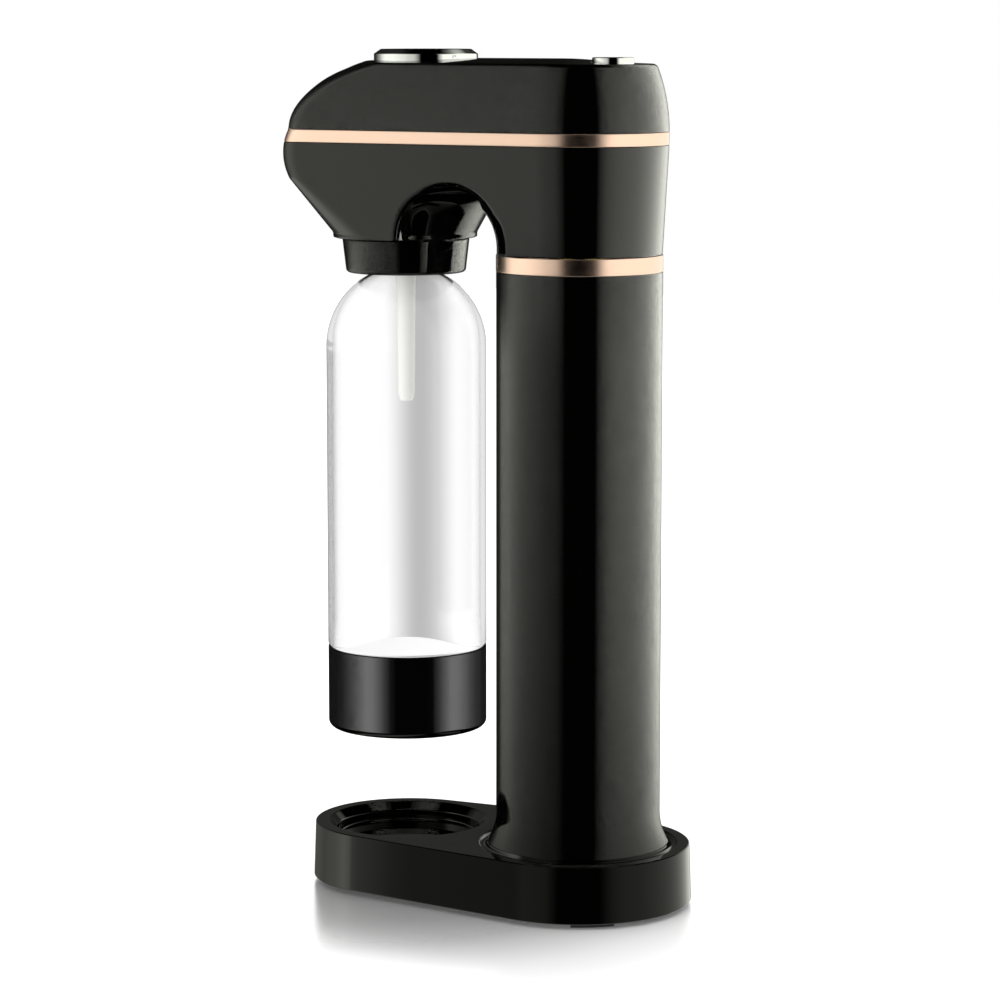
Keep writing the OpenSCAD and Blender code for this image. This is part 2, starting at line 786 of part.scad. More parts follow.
// Rings of a wire or hose as points, six sides or more
function ring_points(centre, across, upward, r, sides) = [for (k = [0 : sides - 1])
    centre + r * cos(360 * k / sides) * across + r * sin(360 * k / sides) * upward];
function skin_faces(rings, sides) = concat(
    [for (i = [0 : rings - 2], k = [0 : sides - 1])
        [i * sides + k, (i + 1) * sides + k, i * sides + (k + 1) % sides]],
    [for (i = [0 : rings - 2], k = [0 : sides - 1])
        [i * sides + (k + 1) % sides, (i + 1) * sides + k, (i + 1) * sides + (k + 1) % sides]],
    [for (k = [1 : sides - 2]) [0, k, k + 1]],
    [for (k = [1 : sides - 2]) [(rings - 1) * sides, (rings - 1) * sides + k + 1, (rings - 1) * sides + k]]);

// Open coil spring between two heights
module coil(r, wire, z0, z1) {
    sides = 6;
    steps = coil_turns * 8;
    low = z0 + wire / 2 + gap;
    high = z1 - wire / 2 - gap;
    rings = [for (k = [0 : steps]) let (a = k * 45, out = [cos(a), sin(a), 0])
        ring_points(r * out + [0, 0, low + (high - low) * k / steps], out, [0, 0, 1], wire / 2, sides)];
    echo(free_gap_between_coils = (high - low) / coil_turns - wire);
    polyhedron([for (ring = rings, p = ring) p], skin_faces(steps + 1, sides));
}

module button_spring() color("#c9ccce") {
    at_button() coil(button_coil_r, button_wire, guide_floor, button_roof);
}

// Small cup valve under the cover, behind the column axis
module vent_valve() color("#c8a24a") {
    at_vent() difference() {
        bar(vent_mouth_x, vent_z, inner_top);
        bar(vent_r + gap, vent_floor, inner_top + over);
        bar(vent_stem_r + fit, vent_bore_z, vent_floor + over);
        up(vent_port_z) rotate([0, 90, 0]) cylinder(r = barb_r + fit, h = vent_mouth_x + over);
    }
}

module vent_button() color("#d5d8da") {
    at_vent() rotate_extrude() polygon([
        [0, vent_stem_z], [vent_stem_r, vent_stem_z], [vent_stem_r, vent_roof],
        [vent_r - vent_skirt_t, vent_roof], [vent_r - vent_skirt_t, vent_skirt_z],
        [vent_r, vent_skirt_z], [vent_r, vent_top - vent_chamfer],
        [vent_r - vent_chamfer, vent_top], [0, vent_top]
    ]);
}

module vent_spring() color("#c9ccce") {
    at_vent() coil(vent_coil_r, vent_wire, vent_floor, vent_roof);
}

// Tapered collar with the socket for the neck of the bottle
module bottle_collar() color("#151515") {
    spigot = well_r - gap;
    at_bottle() rotate_extrude() difference() {
        union() {
            polygon([
                [collar_bore_r, collar_z], [collar_low_r - collar_edge, collar_z],
                [collar_low_r, collar_z + collar_edge], [collar_top_r, collar_top],
                [spigot, collar_top], [spigot, spigot_top], [collar_bore_r, spigot_top]
            ]);
            translate([collar_low_r - collar_edge, collar_z + collar_edge]) circle(r = collar_edge);
        }
        translate([0, collar_z - over]) square([collar_bore_r, spigot_top]);
    }
}

module collar_seal() color("#e6e6e6") {
    at_bottle() tube(collar_bore_r - fit, seal_in_r, spigot_top - seal_t, spigot_top);
}

// Nozzle carrier between the collar and the chassis plate
module nozzle_body() color("#dfdfdc") {
    at_bottle() difference() {
        union() {
            bar(well_r - gap, spigot_top, spigot_top + nozzle_flange_t);
            bar(nozzle_boss_r, spigot_top, chassis_z);
            bar(nozzle_head_r, chassis_z - over, nozzle_top);
            bar(holder_r, spigot_top - holder_h, spigot_top + over);
        }
        bar(tube_r + fit, spigot_top - holder_h - over, spigot_top);
        bar(barb_bore_r, spigot_top - over, barb_z);
        translate([0, 0, barb_z]) rotate([-90, 0, 0]) cylinder(r = barb_r + fit, h = nozzle_head_r + over);
        translate([0, 0, barb_z]) rotate([0, 90, 0]) cylinder(r = barb_r + fit, h = nozzle_head_r + over);
        translate([0, -relief_s, 0]) bar(screw_r + fit, spigot_top + 1, spigot_top + nozzle_flange_t + over);
    }
}

module nozzle_tube() color("#f2f2f0") {
    tip_z = collar_z - tube_drop;
    at_bottle() rotate_extrude() polygon([
        [tube_bore_r, tip_z], [tube_tip_r - 1, tip_z], [tube_tip_r, tip_z + tube_tip_h],
        [tube_r, collar_z], [tube_r, spigot_top], [tube_bore_r, spigot_top]
    ]);
}

module relief_valve() color("#c8a24a") {
    at_bottle() translate([0, -relief_s, 0]) {
        bar(screw_r, spigot_top + 2, spigot_top + nozzle_flange_t + over);
        bar(relief_r, spigot_top + nozzle_flange_t, spigot_top + nozzle_flange_t + relief_h);
        bar(relief_cap_r, spigot_top + nozzle_flange_t, spigot_top + nozzle_flange_t + relief_cap_h);
    }
}

// One hose barb that points along +Y, half of it in its socket
module barb() {
    rotate([-90, 0, 0]) difference() {
        translate([0, 0, -barb_l / 2]) cylinder(r = barb_r, h = barb_l * 1.5);
        translate([0, 0, -barb_l / 2 - over]) cylinder(r = barb_bore_r, h = barb_l * 1.5 + 2 * over);
    }
}

// Mouths of the four sockets: block, nozzle front, nozzle side and vent valve
module hose_fittings() color("#c8a24a") {
    at_column() translate([0, -block_r, barb_z]) rotate(180) barb();
    at_bottle() translate([0, nozzle_head_r, barb_z]) barb();
    at_bottle() translate([nozzle_head_r, 0, barb_z]) rotate(-90) barb();
    at_vent() translate([vent_mouth_x, 0, vent_port_z]) rotate(-90) barb();
}

// Straight pressure hose from the valve block to the nozzle
module gas_hose() color("#e8e8e4") {
    length = reach - flange_r - nozzle_head_r - 2 * gap;
    at_column() translate([0, -flange_r - gap, barb_z]) rotate([90, 0, 0]) difference() {
        cylinder(r = hose_r, h = length);
        up(-over) cylinder(r = barb_r + fit, h = length + 2 * over);
    }
}

// Route of the vent hose from the side of the nozzle to the vent valve
hose_start = [nozzle_head_r + barb_l + gap, -reach, barb_z];
hose_end = [vent_mouth_x + barb_l + gap, vent_back, vent_port_z];
hose_lead = 16;
function hose_at(t) = let (
    a = hose_start, b = hose_start + [hose_lead, 0, 0],
    c = hose_end + [hose_lead, 0, 0], d = hose_end, u = 1 - t)
    u * u * u * a + 3 * u * u * t * b + 3 * u * t * t * c + t * t * t * d;
function unit(v) = v / norm(v);

module vent_hose() color("#e8e8e4") {
    sides = 8;
    rings = [for (k = [0 : hose_rings]) let (
        t = k / hose_rings,
        ahead = unit(hose_at(min(1, t + 0.01)) - hose_at(max(0, t - 0.01))),
        across = unit(cross(ahead, [0, 0, 1])),
        upward = cross(across, ahead))
        ring_points(hose_at(t), across, upward, hose_r, sides)];
    at_column() polyhedron([for (ring = rings, p = ring) p], skin_faces(hose_rings + 1, sides));
}

// Round heel of the bottle, at a distance inside its outer skin
heel_r = bottle_r - cup_wall - 2 * gap;
heel_h = 30;
function heel_points(inset) = [for (k = [1 : 9]) let (a = k * 10)
    [(heel_r - inset) * sin(a), bottle_z + cup_wall + gap + inset + (heel_h - inset) * (1 - cos(a))]];

// Half section of the bottle: heel inside the cup, straight side, round shoulder and neck
module bottle_section(inset, mouth) {
    low = bottle_z + cup_wall + gap;
    side_z = bottle_z + cup_h + gap;
    r = bottle_r - inset;
    polygon(concat([[0, low + inset]], heel_points(inset),
        [[heel_r - inset, side_z + inset], [r, side_z + inset], [r, shoulder_z], [0, shoulder_z]]));
    intersection() {
        translate([0, shoulder_z]) circle(r = r);
        translate([0, shoulder_z - over]) square([r + over, r + over]);
    }
    translate([0, shoulder_z]) square([neck_r - inset, mouth - shoulder_z]);
}

module bottle() color("#dfe6e8", 0.35) {
    at_bottle() rotate_extrude() difference() {
        bottle_section(0, mouth_z);
        bottle_section(bottle_wall, mouth_z + over);
    }
}

module bottle_cup() color("#161616") {
    cup_r = bottle_r - 0.1;
    at_bottle() rotate_extrude() difference() {
        union() {
            translate([0, bottle_z]) square([cup_r - cup_edge, cup_h]);
            translate([0, bottle_z + cup_edge]) square([cup_r, cup_h - cup_edge]);
            translate([cup_r - cup_edge, bottle_z + cup_edge]) circle(r = cup_edge);
        }
        polygon(concat([[0, bottle_z + cup_wall]],
            [for (p = heel_points(-gap)) p],
            [[heel_r + gap, bottle_z + cup_h + over], [0, bottle_z + cup_h + over]]));
    }
}

base_housing();
base_plate();
rubber_feet();
base_screws();
cylinder_hatch();
hatch_pad();
column_tube();
column_ring();
cylinder_guides();
gas_cylinder();
cylinder_valve();
valve_pin();
valve_gasket();
valve_block();
valve_plunger();
chassis_plate();
chassis_screws();
lever_bracket();
lever_pin();
carbonation_lever();
head_lower_shell();
head_band();
head_cover();
cover_standoffs();
button_guide();
carbonation_button();
button_spring();
vent_valve();
vent_button();
vent_spring();
bottle_collar();
collar_seal();
nozzle_body();
nozzle_tube();
relief_valve();
hose_fittings();
gas_hose();
vent_hose();
bottle();
bottle_cup();
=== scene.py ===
import json
import math

import bmesh
import bpy
import numpy as np
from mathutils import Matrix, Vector

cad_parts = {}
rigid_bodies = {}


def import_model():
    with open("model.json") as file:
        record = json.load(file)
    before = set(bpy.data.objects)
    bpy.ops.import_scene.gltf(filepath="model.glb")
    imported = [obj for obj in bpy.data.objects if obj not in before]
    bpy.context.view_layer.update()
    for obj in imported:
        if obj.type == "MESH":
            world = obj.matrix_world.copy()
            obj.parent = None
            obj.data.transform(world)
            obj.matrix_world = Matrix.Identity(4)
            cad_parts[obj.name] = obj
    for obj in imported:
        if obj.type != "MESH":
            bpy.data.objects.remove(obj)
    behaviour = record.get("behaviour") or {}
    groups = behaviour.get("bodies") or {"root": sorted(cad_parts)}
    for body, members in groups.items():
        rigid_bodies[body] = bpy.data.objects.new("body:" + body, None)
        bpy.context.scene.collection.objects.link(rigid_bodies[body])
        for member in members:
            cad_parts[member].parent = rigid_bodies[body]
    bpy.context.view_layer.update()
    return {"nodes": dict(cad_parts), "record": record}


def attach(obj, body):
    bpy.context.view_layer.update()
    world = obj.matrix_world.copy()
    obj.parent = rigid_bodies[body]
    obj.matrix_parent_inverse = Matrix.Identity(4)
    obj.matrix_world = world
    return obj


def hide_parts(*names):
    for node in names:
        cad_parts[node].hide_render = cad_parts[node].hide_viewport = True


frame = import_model()

# Camera: a long lens a little above the head, looking at the machine's right rear quarter,
# so that the bottle hangs to the left of the column.
view_line = Vector((-0.8571, -0.4973, -0.1366))


def add_object(name, data, place=(0, 0, 0)):
    """New object, linked into the scene."""
    thing = bpy.data.objects.new(name, data)
    thing.location = place
    bpy.context.scene.collection.objects.link(thing)
    return thing


camera = add_object("camera", bpy.data.cameras.new("camera"), (1.4847, 0.86525, 0.4373))
camera.rotation_euler = view_line.to_track_quat("-Z", "Y").to_euler()
camera.data.lens = 124.27
camera.data.sensor_width = 36
camera.data.clip_end = 30
bpy.context.scene.camera = camera
bpy.context.scene.view_settings.view_transform = "Standard"

# Studio: plain even light all round for paint and plastic, and white paper for the camera to see.
# What the glossy pieces mirror are the tall cloth walls further down.
even_level = 0.88
world = bpy.data.worlds.new("studio")
bpy.context.scene.world = world
world.use_nodes = True
world.cycles.sampling_method = "NONE"
sky = world.node_tree
sky.nodes.clear()


def math_node(tree, operation, *values):
    node = tree.nodes.new("ShaderNodeMath")
    node.operation = operation
    for k, value in enumerate(values):
        if isinstance(value, (int, float)):
            node.inputs[k].default_value = value
        else:
            tree.links.new(value, node.inputs[k])
    return node.outputs[0]


rays = sky.nodes.new("ShaderNodeLightPath").outputs
paper = math_node(sky, "MAXIMUM", rays["Is Camera Ray"], rays["Is Transmission Ray"])
even = math_node(sky, "MULTIPLY", rays["Is Diffuse Ray"], even_level)
room = sky.nodes.new("ShaderNodeBackground")
room.inputs["Color"].default_value = (1, 1, 1, 1)
sky.links.new(math_node(sky, "MAXIMUM", paper, even), room.inputs["Strength"])
sky.links.new(room.outputs[0], sky.nodes.new("ShaderNodeOutputWorld").inputs["Surface"])

# Cloth walls: round walls of cloth half a metre away that only the glossy pieces mirror. They are
# lit softly on both sides and left dark towards the camera and straight behind the machine. Shell,
# foot of the column and base have walls of their own, and a lining is for black plastic alone.
column_y = 48.95
towards = (0.8649, 0.5018, 0)
rightward = (-0.5018, 0.8649, 0)
upward = (0, 0, 1)
wall_low, wall_high = -0.35, 1.55
wall_tall = wall_high - wall_low
cloth_tint, paper_tint = (0.99, 1.0, 0.9), (1, 1, 1)


def ramp_node(tree, value, stops):
    node = tree.nodes.new("ShaderNodeValToRGB")
    tree.links.new(value, node.inputs[0])
    points = node.color_ramp.elements
    while len(points) < len(stops):
        points.new(0.5)
    for point, (place, level) in zip(points, stops):
        point.position = place
        point.color = (level, level, level, 1)
    return node.outputs[0]


def dot_node(tree, a, b):
    node = tree.nodes.new("ShaderNodeVectorMath")
    node.operation = "DOT_PRODUCT"
    tree.links.new(a, node.inputs[0])
    node.inputs[1].default_value = b
    return node.outputs["Value"]


def length_node(tree, vector):
    node = tree.nodes.new("ShaderNodeVectorMath")
    node.operation = "LENGTH"
    tree.links.new(vector, node.inputs[0])
    return node.outputs["Value"]


def where_node(tree):
    return tree.nodes.new("ShaderNodeTexCoord").outputs["Object"]


def turn_node(tree, where):
    """Share of a turn about the upright axis, half at the side of the camera."""
    turn = math_node(tree, "ARCTAN2", dot_node(tree, where, rightward), dot_node(tree, where, towards))
    return math_node(tree, "MULTIPLY_ADD", turn, 0.5 / math.pi, 0.5)


def around_node(tree, turn, stops, top):
    """Level of at most top by direction, its stops in degrees from the side of the camera."""
    level = ramp_node(tree, turn, [(0.5 + a / 360, v / top) for a, v in stops])
    return math_node(tree, "MULTIPLY", level, top)


def cloth_light():
    """Brightness of the cloth by direction and height, for each group of pieces that mirrors it."""
    group = bpy.data.node_groups.new("cloth_light", "ShaderNodeTree")
    for name in ("Upper", "Shell", "Foot", "Base"):
        group.interface.new_socket(name=name, in_out="OUTPUT", socket_type="NodeSocketFloat")
    end = group.nodes.new("NodeGroupOutput")
    where = where_node(group)
    turn = turn_node(group, where)
    up = dot_node(group, where, upward)
    rise = math_node(group, "MULTIPLY_ADD", up, 1 / wall_tall, -wall_low / wall_tall)

    def around(*stops):
        return around_node(group, turn, stops, 4.0)

    def height(*stops):
        return ramp_node(group, rise, [((h - wall_low) / wall_tall, v) for h, v in stops])

    by_base = around(
        (-180, 0.07), (-150, 0.1), (-130, 0.3), (-118, 0.4), (-100, 0.9), (-88, 1.5), (-81, 1.3),
        (-77.5, 0.6), (-74, 0.2), (-65, 0.16), (-55, 0.24), (-33, 0.2), (-20, 0), (20, 0), (33, 0.2),
        (45, 0.32), (60, 0.36), (80, 0.5), (100, 0.65), (115, 0.85), (130, 1.2), (142, 1.5), (155, 1.3),
        (165, 0.1), (180, 0.07))
    by_column = around(
        (-180, 0.1), (-165, 0.06), (-150, 0.03), (-141, 0.16), (-131, 0.8), (-113, 1.4), (-99, 1.29),
        (-87, 1.08), (-76, 0.9), (-66, 0.78), (-56, 0.63), (-47, 0.48), (-38, 0.4), (-33, 0.36),
        (-20, 0), (20, 0), (33, 0.95), (38, 1.35), (47, 1.7), (57, 1.95), (77, 2.3), (88, 2.65),
        (100, 3.05), (114, 3.5), (131, 3.6), (145, 2.7), (156, 1.4), (164, 0.1), (180, 0.1))
    by_head = around(
        (-180, 0.01), (-165, 0.01), (-150, 0.02), (-141, 0.03), (-131, 0.12), (-120, 0.4), (-110, 0.9),
        (-99, 1.25), (-87, 1.25), (-76, 1.1), (-66, 1.0), (-56, 0.9), (-47, 0.75), (-38, 0.66),
        (-33, 0.6), (-20, 0), (20, 0), (33, 1.0), (38, 1.2), (47, 1.5), (57, 1.74), (77, 2.1),
        (88, 2.55), (100, 3.0), (114, 3.5), (131, 3.6), (145, 2.7), (156, 1.4), (164, 0.06), (180, 0.01))
    at_column = height(
        (-0.35, 0.05), (-0.2, 0.15), (-0.12, 0.3), (-0.09, 0.4), (-0.025, 0.58), (0.052, 0.78),
        (0.229, 1), (0.268, 0))
    at_head = height(
        (0.229, 0), (0.268, 1), (0.4, 1), (0.835, 0.7), (1.2, 0.15), (1.5, 0))
    at_foot = height(
        (-0.35, 0.3), (-0.06, 0.48), (0, 0.47), (0.1, 0.45), (0.25, 0.42), (0.5, 0.36), (1.2, 0.1))
    at_base = height((-0.35, 1), (0.2, 1), (0.3, 0))
    low_share = math_node(group, "MULTIPLY", by_column, at_column)
    upper = math_node(group, "MULTIPLY_ADD", by_head, at_head, low_share)
    group.links.new(upper, end.inputs["Upper"])
    # The shell's light ends at a slanted line low down, so that it leaves part of the chin dark.
    past = math_node(group, "MULTIPLY_ADD", up, -90 / 360, turn)
    beyond = ramp_node(group, past, [(0.5 + 150 / 360, 0), (0.5 + 156 / 360, 1)])
    low_down = height((0.15, 1), (0.23, 0))
    kept = math_node(group, "SUBTRACT", 1.0, math_node(group, "MULTIPLY", beyond, low_down))
    group.links.new(math_node(group, "MULTIPLY", upper, kept), end.inputs["Shell"])
    group.links.new(math_node(group, "MULTIPLY", by_column, at_foot), end.inputs["Foot"])
    group.links.new(math_node(group, "MULTIPLY", by_base, at_base), end.inputs["Base"])
    return group


cloth = cloth_light()


def bare_material(name):
    """Material with an empty node tree."""
    material = bpy.data.materials.new(name)
    material.use_nodes = True
    material.node_tree.nodes.clear()
    return material


def show(tree, shader):
    """Send a shader to the surface."""
    surface = tree.nodes.new("ShaderNodeOutputMaterial").inputs["Surface"]
    tree.links.new(shader.outputs[0], surface)


def glow_material(name, light, tint):
    """See-through material that only adds light. light(tree) puts out its level."""
    material = bare_material(name)
    material.cycles.emission_sampling = "NONE"
    tree = material.node_tree
    tinted = tree.nodes.new("ShaderNodeVectorMath")
    tinted.operation = "SCALE"
    tinted.inputs[0].default_value = tint
    tree.links.new(light(tree), tinted.inputs["Scale"])
    glow = tree.nodes.new("ShaderNodeEmission")
    tree.links.new(tinted.outputs[0], glow.inputs["Color"])
    both = tree.nodes.new("ShaderNodeAddShader")
    tree.links.new(glow.outputs[0], both.inputs[0])
    tree.links.new(tree.nodes.new("ShaderNodeBsdfTransparent").outputs[0], both.inputs[1])
    show(tree, both)
    return material


def cloth_value(tree, output):
    node = tree.nodes.new("ShaderNodeGroup")
    node.node_tree = cloth
    return node.outputs[output]


soft_walls = []


def glow_piece(name, mesh, place, light, tint):
    """Sheet of cloth that glossy rays alone can see, with a list of the pieces it shines on."""
    mesh.materials.append(glow_material(name + "_light", light, tint))
    wall = add_object(name, mesh, place)
    wall.visible_camera = wall.visible_diffuse = False
    wall.visible_transmission = wall.visible_shadow = False
    wall.light_linking.receiver_collection = bpy.data.collections.new(name + "_shines_on")
    soft_walls.append(wall)
    return wall


def circle(radius, steps):
    turns = [2 * math.pi * i / steps for i in range(steps)]
    return [(radius * math.cos(a), radius * math.sin(a)) for a in turns]


def round_wall(name, place, radius, low, high, light, tint=cloth_tint):
    """Open round wall. light(tree) puts out its level."""
    steps = 128
    ring = circle(radius, steps)
    mesh = bpy.data.meshes.new(name)
    mesh.from_pydata([(x, y, z) for z in (low, high) for x, y in ring], [],
                     [(i, (i + 1) % steps, steps + (i + 1) % steps, steps + i) for i in range(steps)])
    return glow_piece(name, mesh, place, light, tint)


def lit_by(piece, *walls):
    """Put a piece in the light of these walls alone."""
    for wall in soft_walls:
        shines_on = wall.light_linking.receiver_collection.objects
        if piece.name in shines_on:
            shines_on.unlink(piece)
        if wall in walls:
            shines_on.link(piece)


column_place = (0, column_y / 1000, 0)
metal_level = 1.15


def column_wall(name, radius, light):
    return round_wall(name, column_place, radius, wall_low, wall_high, light)


cloth_wall = column_wall("cloth_wall", 0.5, lambda tree: math_node(
    tree, "MINIMUM", cloth_value(tree, "Upper"), metal_level))
cloth_lining = column_wall("cloth_lining", 0.49, lambda tree: math_node(
    tree, "MAXIMUM", math_node(tree, "SUBTRACT", cloth_value(tree, "Upper"), metal_level), 0.0))
foot_cloth = column_wall("foot_cloth", 0.48, lambda tree: cloth_value(tree, "Foot"))
shell_cloth = column_wall("shell_cloth", 0.485, lambda tree: cloth_value(tree, "Shell"))
base_cloth = column_wall("base_cloth", 0.47, lambda tree: cloth_value(tree, "Base"))

# Cloth roof and mat: they close the walls above and below, so that the pieces don't mirror a dark
# room when they are seen from high up. The roof is open in the middle.
def cloth_sheet(name, z, radius, stops):
    """Flat disc, its brightness given by the distance from its middle."""
    def level(tree):
        far = length_node(tree, where_node(tree))
        return ramp_node(tree, math_node(tree, "DIVIDE", far, radius), stops)

    steps = 128
    mesh = bpy.data.meshes.new(name)
    mesh.from_pydata([(x, y, 0) for x, y in circle(radius, steps)], [], [tuple(range(steps))])
    return glow_piece(name, mesh, (0, column_y / 1000, z), level, cloth_tint)


cloth_roof = cloth_sheet("cloth_roof", 1.25, 0.75, [(0.3, 0), (0.55, 0.5), (0.85, 0.45), (1, 0)])
cloth_mat = cloth_sheet("cloth_mat", -0.36, 0.5, [(0.0, 0.6), (0.8, 0.6), (1, 0)])

# Table: a sheet of polished white acrylic, which mirrors the base faintly and is clear from below.
# Four walls of paper and one overhead light the sheet alone.
floor_mesh = bpy.data.meshes.new("floor")
floor_shape = bmesh.new()
bmesh.ops.create_grid(floor_shape, x_segments=8, y_segments=8, size=3.5)
floor_shape.to_mesh(floor_mesh)
floor_shape.free()
floor = add_object("floor", floor_mesh, (0, 0, -0.0002))
floor.visible_glossy = floor.visible_diffuse = floor.visible_transmission = False
acrylic = bare_material("white_acrylic")
tree = acrylic.node_tree
mirror = tree.nodes.new("ShaderNodeBsdfGlossy")
mirror.inputs["Color"].default_value = (1, 1, 1, 1)
mirror.inputs["Roughness"].default_value = 0.22
body_white = tree.nodes.new("ShaderNodeBsdfDiffuse")
body_white.inputs["Color"].default_value = (0.9, 0.9, 0.9, 1)
share = tree.nodes.new("ShaderNodeMixShader")
place = tree.nodes.new("ShaderNodeMapping")
place.inputs["Location"].default_value = (0, 0.072, 0)
place.inputs["Scale"].default_value = (1, 1.2, 0)
tree.links.new(where_node(tree), place.inputs["Vector"])
mirror_share = [(0.05, 0.88), (0.1, 0.82), (0.145, 0.72), (0.175, 0.6),
                (0.21, 0.46), (0.27, 0.32), (0.36, 0.18), (0.5, 0.07)]
away = length_node(tree, place.outputs[0])
tree.links.new(ramp_node(tree, away, mirror_share), share.inputs[0])
tree.links.new(body_white.outputs[0], share.inputs[1])
tree.links.new(mirror.outputs[0], share.inputs[2])
bright = tree.nodes.new("ShaderNodeEmission")
seen = tree.nodes.new("ShaderNodeLightPath").outputs["Is Camera Ray"]
tree.links.new(ramp_node(tree, seen, [(0, 0), (1, 0.07)]), bright.inputs["Color"])
sheet = tree.nodes.new("ShaderNodeAddShader")
tree.links.new(share.outputs[0], sheet.inputs[0])
tree.links.new(bright.outputs[0], sheet.inputs[1])
one_sided = tree.nodes.new("ShaderNodeMixShader")
tree.links.new(tree.nodes.new("ShaderNodeNewGeometry").outputs["Backfacing"], one_sided.inputs[0])
tree.links.new(sheet.outputs[0], one_sided.inputs[1])
tree.links.new(tree.nodes.new("ShaderNodeBsdfTransparent").outputs[0], one_sided.inputs[2])
show(tree, one_sided)
floor_mesh.materials.append(acrylic)
sheet_only = bpy.data.collections.new("sheet_only")
sheet_only.objects.link(floor)


def paper_wall(name, place, aim, wide, tall):
    light = bpy.data.lights.new(name, "AREA")
    light.shape = "RECTANGLE"
    light.size = wide
    light.size_y = tall
    light.energy = math.pi * wide * tall
    wall = add_object(name, light, place)
    wall.rotation_euler = Vector(aim).to_track_quat("-Z", "Y").to_euler()
    wall.light_linking.receiver_collection = sheet_only


for k in range(4):
    way = Vector((math.cos(k * math.pi / 2), math.sin(k * math.pi / 2), 0))
    paper_wall(f"paper_wall_{k}", way * 4.5 + Vector((0, 0, 2)), -way, 9, 4)
paper_wall("paper_roof", (0, 0, 4), (0, 0, -1), 9, 9)

# Base: a two-lobed hollow moulding in polished black plastic. A round dish under the bottle
# catches drips, and a groove runs round the raised seat of the column.
reach = 100.0
base_low, base_top, base_skin = 2.5, 31.0, 3.0
rear_r, front_r = 56.0, 47.5
dish_r, dish_floor = 40.5, 22.0
seat_z, column_foot_r = 32.0, 45.26
moat_r, moat_at = 2.1, 47.66
machine = "machine"


def surface_group():
    """Clouded roughness and a fine grain for surfaces that have been handled."""
    group = bpy.data.node_groups.new("handled_surface", "ShaderNodeTree")
    for name, value in (("Scale", 60.0), ("Low", 0.04), ("High", 0.08)):
        socket = group.interface.new_socket(name=name, in_out="INPUT", socket_type="NodeSocketFloat")
        socket.default_value = value
    for name in ("Roughness", "Height"):
        group.interface.new_socket(name=name, in_out="OUTPUT", socket_type="NodeSocketFloat")
    start = group.nodes.new("NodeGroupInput")
    end = group.nodes.new("NodeGroupOutput")
    where = where_node(group)
    cloud = group.nodes.new("ShaderNodeTexNoise")
    cloud.inputs["Detail"].default_value = 4
    group.links.new(where, cloud.inputs["Vector"])
    group.links.new(start.outputs["Scale"], cloud.inputs["Scale"])
    spread = group.nodes.new("ShaderNodeMapRange")
    spread.inputs["From Min"].default_value = 0.35
    spread.inputs["From Max"].default_value = 0.65
    group.links.new(cloud.outputs[0], spread.inputs["Value"])
    group.links.new(start.outputs["Low"], spread.inputs["To Min"])
    group.links.new(start.outputs["High"], spread.inputs["To Max"])
    group.links.new(spread.outputs[0], end.inputs["Roughness"])
    grain = group.nodes.new("ShaderNodeTexNoise")
    grain.inputs["Detail"].default_value = 2
    group.links.new(where, grain.inputs["Vector"])
    group.links.new(math_node(group, "MULTIPLY", start.outputs["Scale"], 9.0), grain.inputs["Scale"])
    group.links.new(grain.outputs[0], end.inputs["Height"])
    return group


handled_surface = surface_group()


def finish_for(name, colour, scale, low, high, bump, **sockets):
    """Material with clouded gloss and a fine bump, its other values set on the shader."""
    material = bpy.data.materials.new(name)
    material.use_nodes = True
    tree = material.node_tree
    shader = tree.nodes["Principled BSDF"]
    shader.inputs["Base Color"].default_value = (*colour, 1)
    for socket, value in sockets.items():
        shader.inputs[socket.replace("_", " ")].default_value = value
    touch = tree.nodes.new("ShaderNodeGroup")
    touch.node_tree = handled_surface
    for socket, value in (("Scale", scale), ("Low", low), ("High", high)):
        touch.inputs[socket].default_value = value
    tree.links.new(touch.outputs["Roughness"], shader.inputs["Roughness"])
    relief = tree.nodes.new("ShaderNodeBump")
    relief.inputs["Strength"].default_value = bump
    relief.inputs["Distance"].default_value = 0.0001
    tree.links.new(touch.outputs["Height"], relief.inputs["Height"])
    tree.links.new(relief.outputs[0], shader.inputs["Normal"])
    return material


gloss_black = finish_for("gloss_black", (0.0007, 0.0007, 0.0007), 45, 0.02, 0.05, 0.02)


def add_piece(name, points, faces, material, body, slot_name, *stands_for):
    """Smooth mesh from points in millimetres, riding on a body in place of its CAD nodes."""
    mesh = bpy.data.meshes.new(name)
    mesh.from_pydata([(x * 0.001, y * 0.001, z * 0.001) for x, y, z in points], [], faces)
    shape = bmesh.new()
    shape.from_mesh(mesh)
    bmesh.ops.remove_doubles(shape, verts=shape.verts, dist=1e-7)
    bmesh.ops.recalc_face_normals(shape, faces=shape.faces)
    shape.to_mesh(mesh)
    shape.free()
    mesh.shade_smooth()
    mesh.set_sharp_from_angle(angle=math.radians(50))
    mesh.materials.append(material)
    piece = add_object(name, mesh)
    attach(piece, body)
    if stands_for:
        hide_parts(*stands_for)
    if slot_name == "gloss_black":
        lit_by(piece, cloth_wall, cloth_lining, cloth_roof, cloth_mat)
    else:
        lit_by(piece, cloth_wall, cloth_roof, cloth_mat)
    return piece


